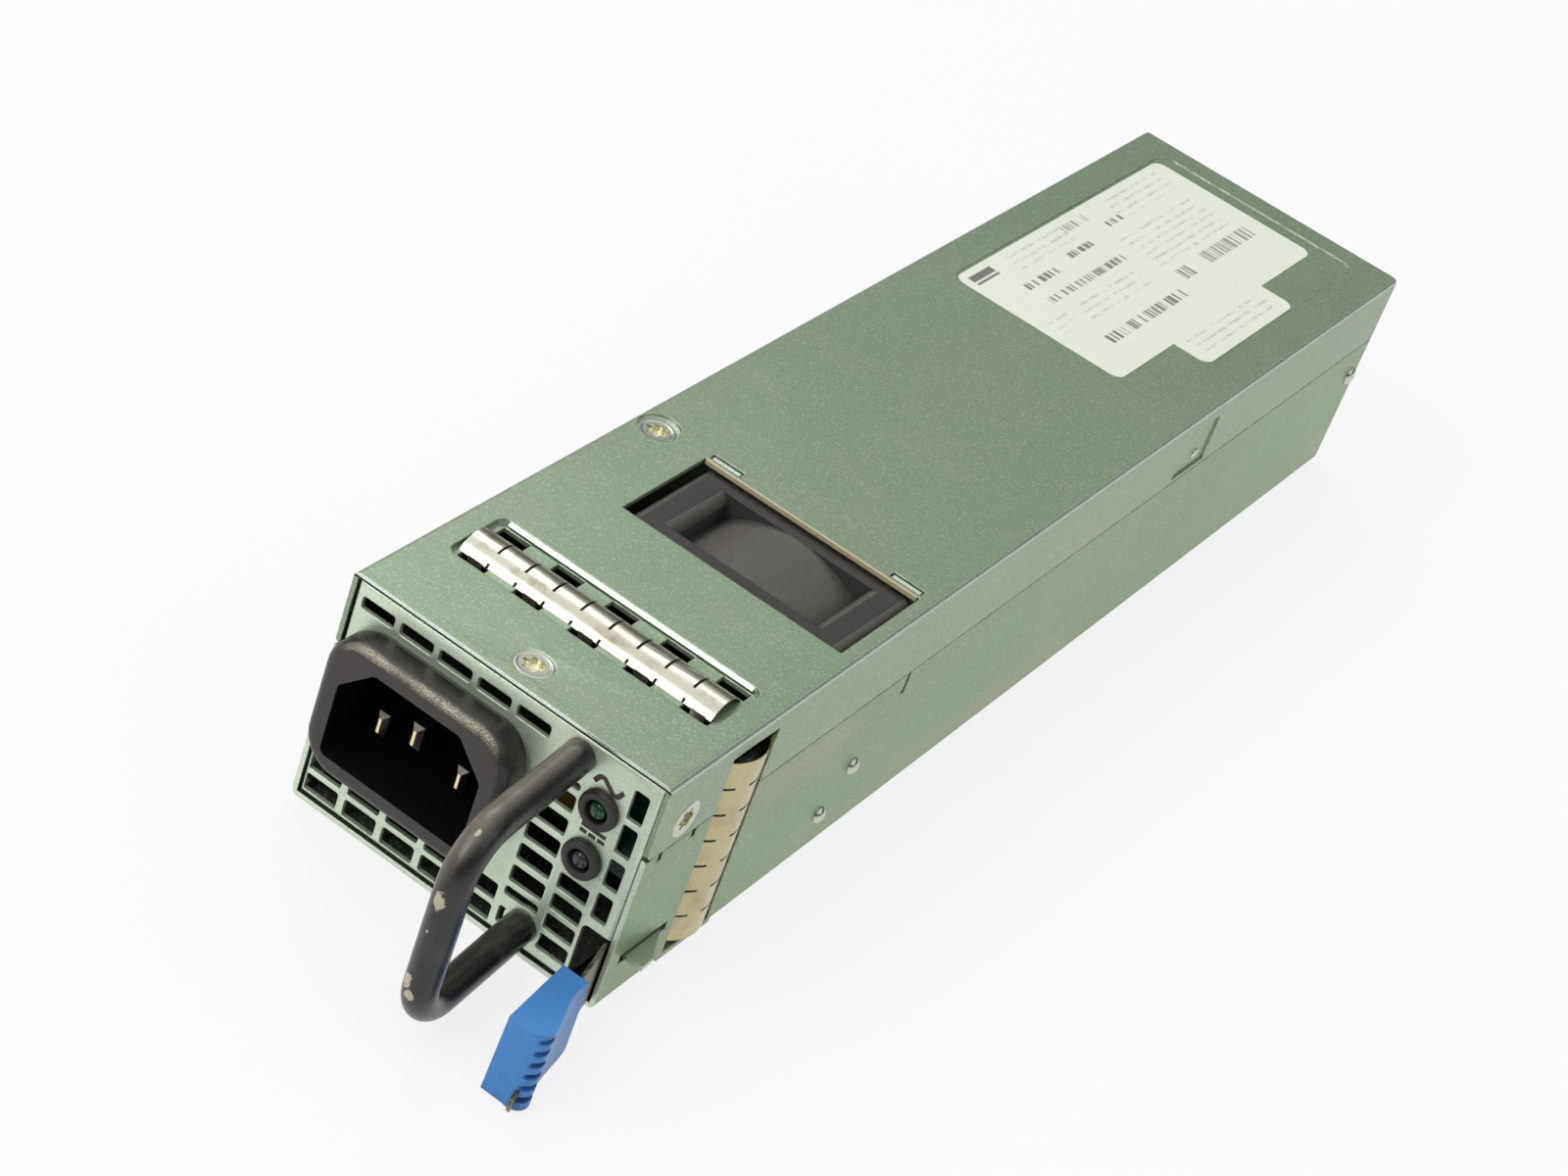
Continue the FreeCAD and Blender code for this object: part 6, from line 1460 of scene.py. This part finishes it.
@dataclass
class FrontFace(Assembly):
    """The perforated front panel with its inlet, handle and painted signs."""

    sheet: float = 0.7
    rim: float = 3.1
    lip: float = 0.4
    sign_centre: float = 18.4
    wave_height: float = 34.05
    wave_half: float = 2.35
    wave_rise: float = 0.75
    bar_height: float = 25.75
    bar_length: float = 4.1
    dash_length: float = 1.15
    dash_pitch: float = 1.5
    stroke: float = 0.62
    proud: float = 0.03
    tips: float = -105.0
    tip: float = 0.27

    def wave_sign(self) -> Piece:
        """Build the small wave sign as a flat painted stroke.

        Returns:
            The sign.
        """
        half, rise = self.wave_half, self.wave_rise
        points = [(-half, -0.5), (-half * 0.55, rise), (0.0, 0.0), (half * 0.55, -rise), (half, 0.5)]
        set_down()
        bpy.ops.curve.primitive_bezier_curve_add(location=(0.0, 0.0, 0.0))
        with editing(None):
            bpy.ops.curve.subdivide(number_cuts=3)
        curve = in_hand()
        for knot, (x, z) in zip(curve.data.splines[0].bezier_points, points):
            knot.co = Vector((self.sign_centre + x, FRONT, self.wave_height + z)) * MM
            knot.handle_left_type = "AUTO"
            knot.handle_right_type = "AUTO"
        curve.data.bevel_depth = 0.62 * self.stroke * MM
        curve.data.bevel_resolution = 2
        bpy.ops.object.convert(target="MESH")
        flat = (1.0, 2 * self.proud / self.stroke, 1.0)
        with editing():
            bpy.ops.transform.resize(value=flat, center_override=Vector((0.0, FRONT, 0.0)) * MM)
        return settle(in_hand(), "wave_sign")

    def bar_sign(self) -> list[Piece]:
        """Build the bar over three dashes.

        Returns:
            The strokes.
        """
        left = self.sign_centre - self.bar_length / 2
        near, far = FRONT - self.proud, FRONT + self.proud
        high, low = self.bar_height + 0.5, self.bar_height - 0.5
        half = self.stroke / 2
        strokes = [plate("bar", (left, near, high - half), (left + self.bar_length, far, high + half))]
        for index in range(3):
            start = left + index * self.dash_pitch
            end = start + self.dash_length
            strokes.append(plate("dash", (start, near, low - half), (end, far, low + half)))
        return strokes

    def pins(self) -> None:
        """Dress the inlet's pins, with a raised flat on each tip."""
        piece = copy_of("inlet_blades", "inlet_pins")
        choose(piece, Part.FACE, lambda face: face.normal.y < -0.9 and face.center.y < self.tips * MM)
        with editing(None):
            bpy.ops.mesh.inset(thickness=self.tip * MM, depth=self.tip * MM)
        soften(piece, 25.0)
        # pin finish: painted shade on the shanks and a painted highlight on the tips
        self.place(piece, "gold", ["inlet_blades"], "pin_painted_light")

    def inlet(self) -> None:
        """Dress the inlet's housing, near-black in its cavity: black plastic deepened with painted shade."""
        low, high = size_of("inlet_housing")
        rim = self.rim
        # cavity darkened as painted shade
        refinish(self.copy("inlet_housing", "inlet_plastic", "inlet_shell", angle=40.0), "cavity_black_and_shade",
                 lambda spot, way: low.x + rim < spot.x < high.x - rim and low.z + rim < spot.z < high.z - rim
                 and spot.y > low.y + self.lip)

    def build(self) -> None:
        """Build and dress the front."""
        # the front panel in the paler copy of the zinc, as painted light
        sheet = self.copy("front_panel", "zinc_steel", "front_sheet", "painted_lit_zinc")
        # faces behind the panel's front in painted shade
        refinish(sheet, "painted_shade_zinc", lambda spot, way: spot.y > FRONT + self.sheet)
        self.inlet()
        self.pins()
        self.copy("handle_bar", "handle_coat", "pull_handle", angle=50.0)
        signs = join("lamp_signs", [self.wave_sign()] + self.bar_sign())
        self.place(signs, "black_plastic", finish="sign_paint")


@dataclass
class Lamps(Assembly):
    """The two status lamps: holders with a rolled rim, and domed lenses."""

    outer: float = 3.1
    bore: float = 1.4
    proud: float = 1.2
    barrel: float = 2.3
    length: float = 6.0

    def holder(self, centre: Triple) -> Piece:
        """Build one lamp's holder.

        Args:
            centre: the middle of its bore, on the panel's face.

        Returns:
            The holder.
        """
        outer, bore, proud = self.outer, self.bore, self.proud
        rings = [(bore + 0.02, self.length), (bore + 0.02, 0.4), (bore + 0.28, 0.2), (bore + 0.32, -0.7),
                 (bore + 0.45, -proud + 0.12), (outer - 0.75, -proud), (outer - 0.3, -proud + 0.1),
                 (outer - 0.06, -proud + 0.4), (outer, -proud + 0.75), (outer, 0.0), (self.barrel, 0.0),
                 (self.barrel, self.length), (bore + 0.02, self.length)]
        return turned("holder", rings, centre, Axis.Y, sides=56)

    def lens(self, centre: Triple) -> Piece:
        """Build one lamp's domed lens.

        Args:
            centre: the middle of its holder's bore, on the panel's face.

        Returns:
            The lens.
        """
        bore = self.bore
        dome = [(bore, self.length - 0.2), (bore, -0.35), (bore * 0.93, -0.68), (bore * 0.75, -0.98),
                (bore * 0.45, -1.2), (bore * 0.12, -1.28)]
        return turned("lens", dome, centre, Axis.Y, sides=40)

    def build(self) -> None:
        """Build the holders and the lenses."""
        low, high = size_of("led_lenses")
        centres = [((low.x + high.x) / 2, FRONT, z) for z in (low.z + self.bore, high.z - self.bore)]
        holders = join("lamp_holders", [self.holder(centre) for centre in centres])
        soften(holders, 40.0)
        self.place(holders, "black_plastic", ["led_bezels"])
        lenses = join("lamp_lenses", [self.lens(centre) for centre in centres])
        soften(lenses, 50.0)
        self.place(lenses, "lens", ["led_lenses"])


@dataclass
class Latch(Assembly):
    """The release latch: a worn spring leaf and a ribbed blue grip."""

    body: Body = Body.LATCH

    def build(self) -> None:
        """Build and dress the latch."""
        self.copy("latch_spring_arm", "spring_steel", "latch_leaf")
        self.copy("latch_grip", "blue_plastic", "ribbed_grip", angle=40.0)
        self.copy("latch_spring_mount", "spring_steel", "leaf_mount", body=Body.HOUSING)


@dataclass
class Fan(Assembly):
    """The fan: its frame, its impeller and the rubber pins."""

    rim_depth: float = 0.05

    def build(self) -> None:
        """Build and dress the fan."""
        rim = size_of("fan_frame")[1].z - self.rim_depth
        shroud = self.copy("fan_frame", "fan_plastic", "fan_shroud", angle=38.0)
        refinish(shroud, "black_plastic", lambda spot, way: spot.z > rim)
        refinish(shroud, "dusty_plastic", lambda spot, way: way.z > 0.15 and spot.z <= rim)
        self.copy("fan_impeller", "fan_plastic", "fan_blades", body=Body.ROTOR, angle=38.0)
        self.copy("fan_mounts", "rubber", "rubber_pins", angle=40.0)


@dataclass
class Inside(Assembly):
    """The boards and everything on them, dressed in place."""

    def build(self) -> None:
        """Give every frame node its slot's own material, which shows where no piece stands for it."""
        slots = {entry["node"]: entry["material_slot"] for entry in frame["record"]["subparts"]}
        for name, node in frame["nodes"].items():
            node.data.materials.clear()
            node.data.materials.append(FINISHES.material(slots[name]))
            log.info("Inside: %s in %s", name, slots[name])


# ---- studio --------------------------------------------------------------------------------------


@dataclass
class Studio:
    """The pale floor, the soft light and the camera. Lengths are in metres and angles in degrees."""

    floor_size: float = 9.0
    floor_height: float = -0.0002
    floor_glow: float = 0.82
    camera_place: Triple = (0.172657, -0.457675, 0.329668)
    azimuth: float = 22.31
    elevation: float = 34.25
    roll: float = -20.64
    lens: float = 83.69
    sky_colour: Triple = (0.97, 0.99, 1.0)
    sky_heights: tuple[float, float] = (0.42, 0.74)
    sky_levels: tuple[float, float] = (0.08, 0.92)
    lamps: tuple[tuple[str, Triple, float, float], ...] = (
        ("front_softbox", (-0.48, -0.88, 0.78), 0.7, 5.5),
        ("back_softbox", (-0.60, 0.42, 0.82), 0.5, 2.2),
        ("right_softbox", (1.1, 0.0, 0.7), 0.7, 1.2),
    )

    def floor(self) -> None:
        """Lay the floor: white to the eye and in reflections, with the object's soft shadow kept."""
        set_down()
        bpy.ops.mesh.primitive_plane_add(size=self.floor_size, location=(0.0, 0.0, self.floor_height))
        floor = in_hand()
        floor.name = "studio_floor"
        material = bpy.data.materials.new("studio_floor")
        material.use_nodes = True
        material.node_tree.nodes.clear()
        wires = Wiring(material.node_tree)
        path = wires.add("ShaderNodeLightPath").outputs
        seen = wires.sum("MAXIMUM", wires.sum("MAXIMUM", path["Is Camera Ray"], path["Is Glossy Ray"]),
                         path["Is Transmission Ray"])
        paper = wires.add("ShaderNodeBsdfDiffuse", {"Color": (0.80, 0.80, 0.79)}).outputs[0]
        white = wires.add("ShaderNodeEmission", {"Color": (1.0, 1.0, 1.0), "Strength": 1.0}).outputs[0]
        mixed = wires.add("ShaderNodeMixShader", {0: wires.times(seen, self.floor_glow), 1: paper, 2: white})
        wires.add("ShaderNodeOutputMaterial", {"Surface": mixed.outputs["Shader"]})
        floor.data.materials.append(material)

    def sky(self) -> None:
        """Light the room softly, bright overhead and dim towards the horizon."""
        world = bpy.data.worlds.new("soft_room")
        world.use_nodes = True
        world.node_tree.nodes.clear()
        wires = Wiring(world.node_tree)
        height = wires.parts(wires.add("ShaderNodeTexCoord").outputs["Generated"])["Z"]
        level = wires.span(height, *self.sky_heights, *self.sky_levels)
        light = wires.add("ShaderNodeBackground", {"Color": self.sky_colour, "Strength": level})
        wires.add("ShaderNodeOutputWorld", {"Surface": light.outputs["Background"]})
        bpy.context.scene.world = world

    def lamp(self, name: str, place: Triple, size: float, power: float) -> None:
        """Hang one square soft lamp that faces the object.

        Args:
            name: the lamp's name.
            place: where it hangs.
            size: the length of its side.
            power: its power in watts.
        """
        set_down()
        turn = (-Vector(place)).to_track_quat("-Z", "Y").to_euler()
        bpy.ops.object.light_add(type="AREA", location=place, rotation=turn)
        lamp = in_hand()
        lamp.name = name
        lamp.data.shape = "SQUARE"
        lamp.data.size = size
        lamp.data.energy = power

    def camera(self) -> None:
        """Set the camera at the catalogue view."""
        turn = math.radians(self.azimuth)
        tilt = math.radians(self.elevation)
        ahead = Vector((-math.sin(turn) * math.cos(tilt), math.cos(turn) * math.cos(tilt), -math.sin(tilt)))
        level = Vector((math.cos(turn), math.sin(turn), 0.0))
        right = Quaternion(ahead, math.radians(self.roll)) @ level
        up = right.cross(ahead)
        data = bpy.data.cameras.new("catalogue_view")
        data.lens = self.lens
        data.sensor_width = 36.0
        data.clip_start = 0.01
        data.clip_end = 50.0
        camera = bpy.data.objects.new("catalogue_view", data)
        bpy.context.scene.collection.objects.link(camera)
        rows = Matrix((right, up, -ahead)).transposed().to_4x4()
        camera.matrix_world = Matrix.Translation(Vector(self.camera_place)) @ rows
        bpy.context.scene.camera = camera

    def build(self) -> None:
        """Set up the floor, the light and the camera."""
        self.floor()
        self.sky()
        for lamp in self.lamps:
            self.lamp(*lamp)
        self.camera()
        bpy.context.scene.view_settings.view_transform = "Standard"


def main() -> None:
    """Build the sub-assemblies in order and report each piece."""
    logging.basicConfig(level=logging.INFO, format="%(message)s")
    for part in (Case(), FrontFace(), Lamps(), Latch(), Fan(), Inside(), Studio()):
        part.build()


if __name__ == "__main__":
    main()
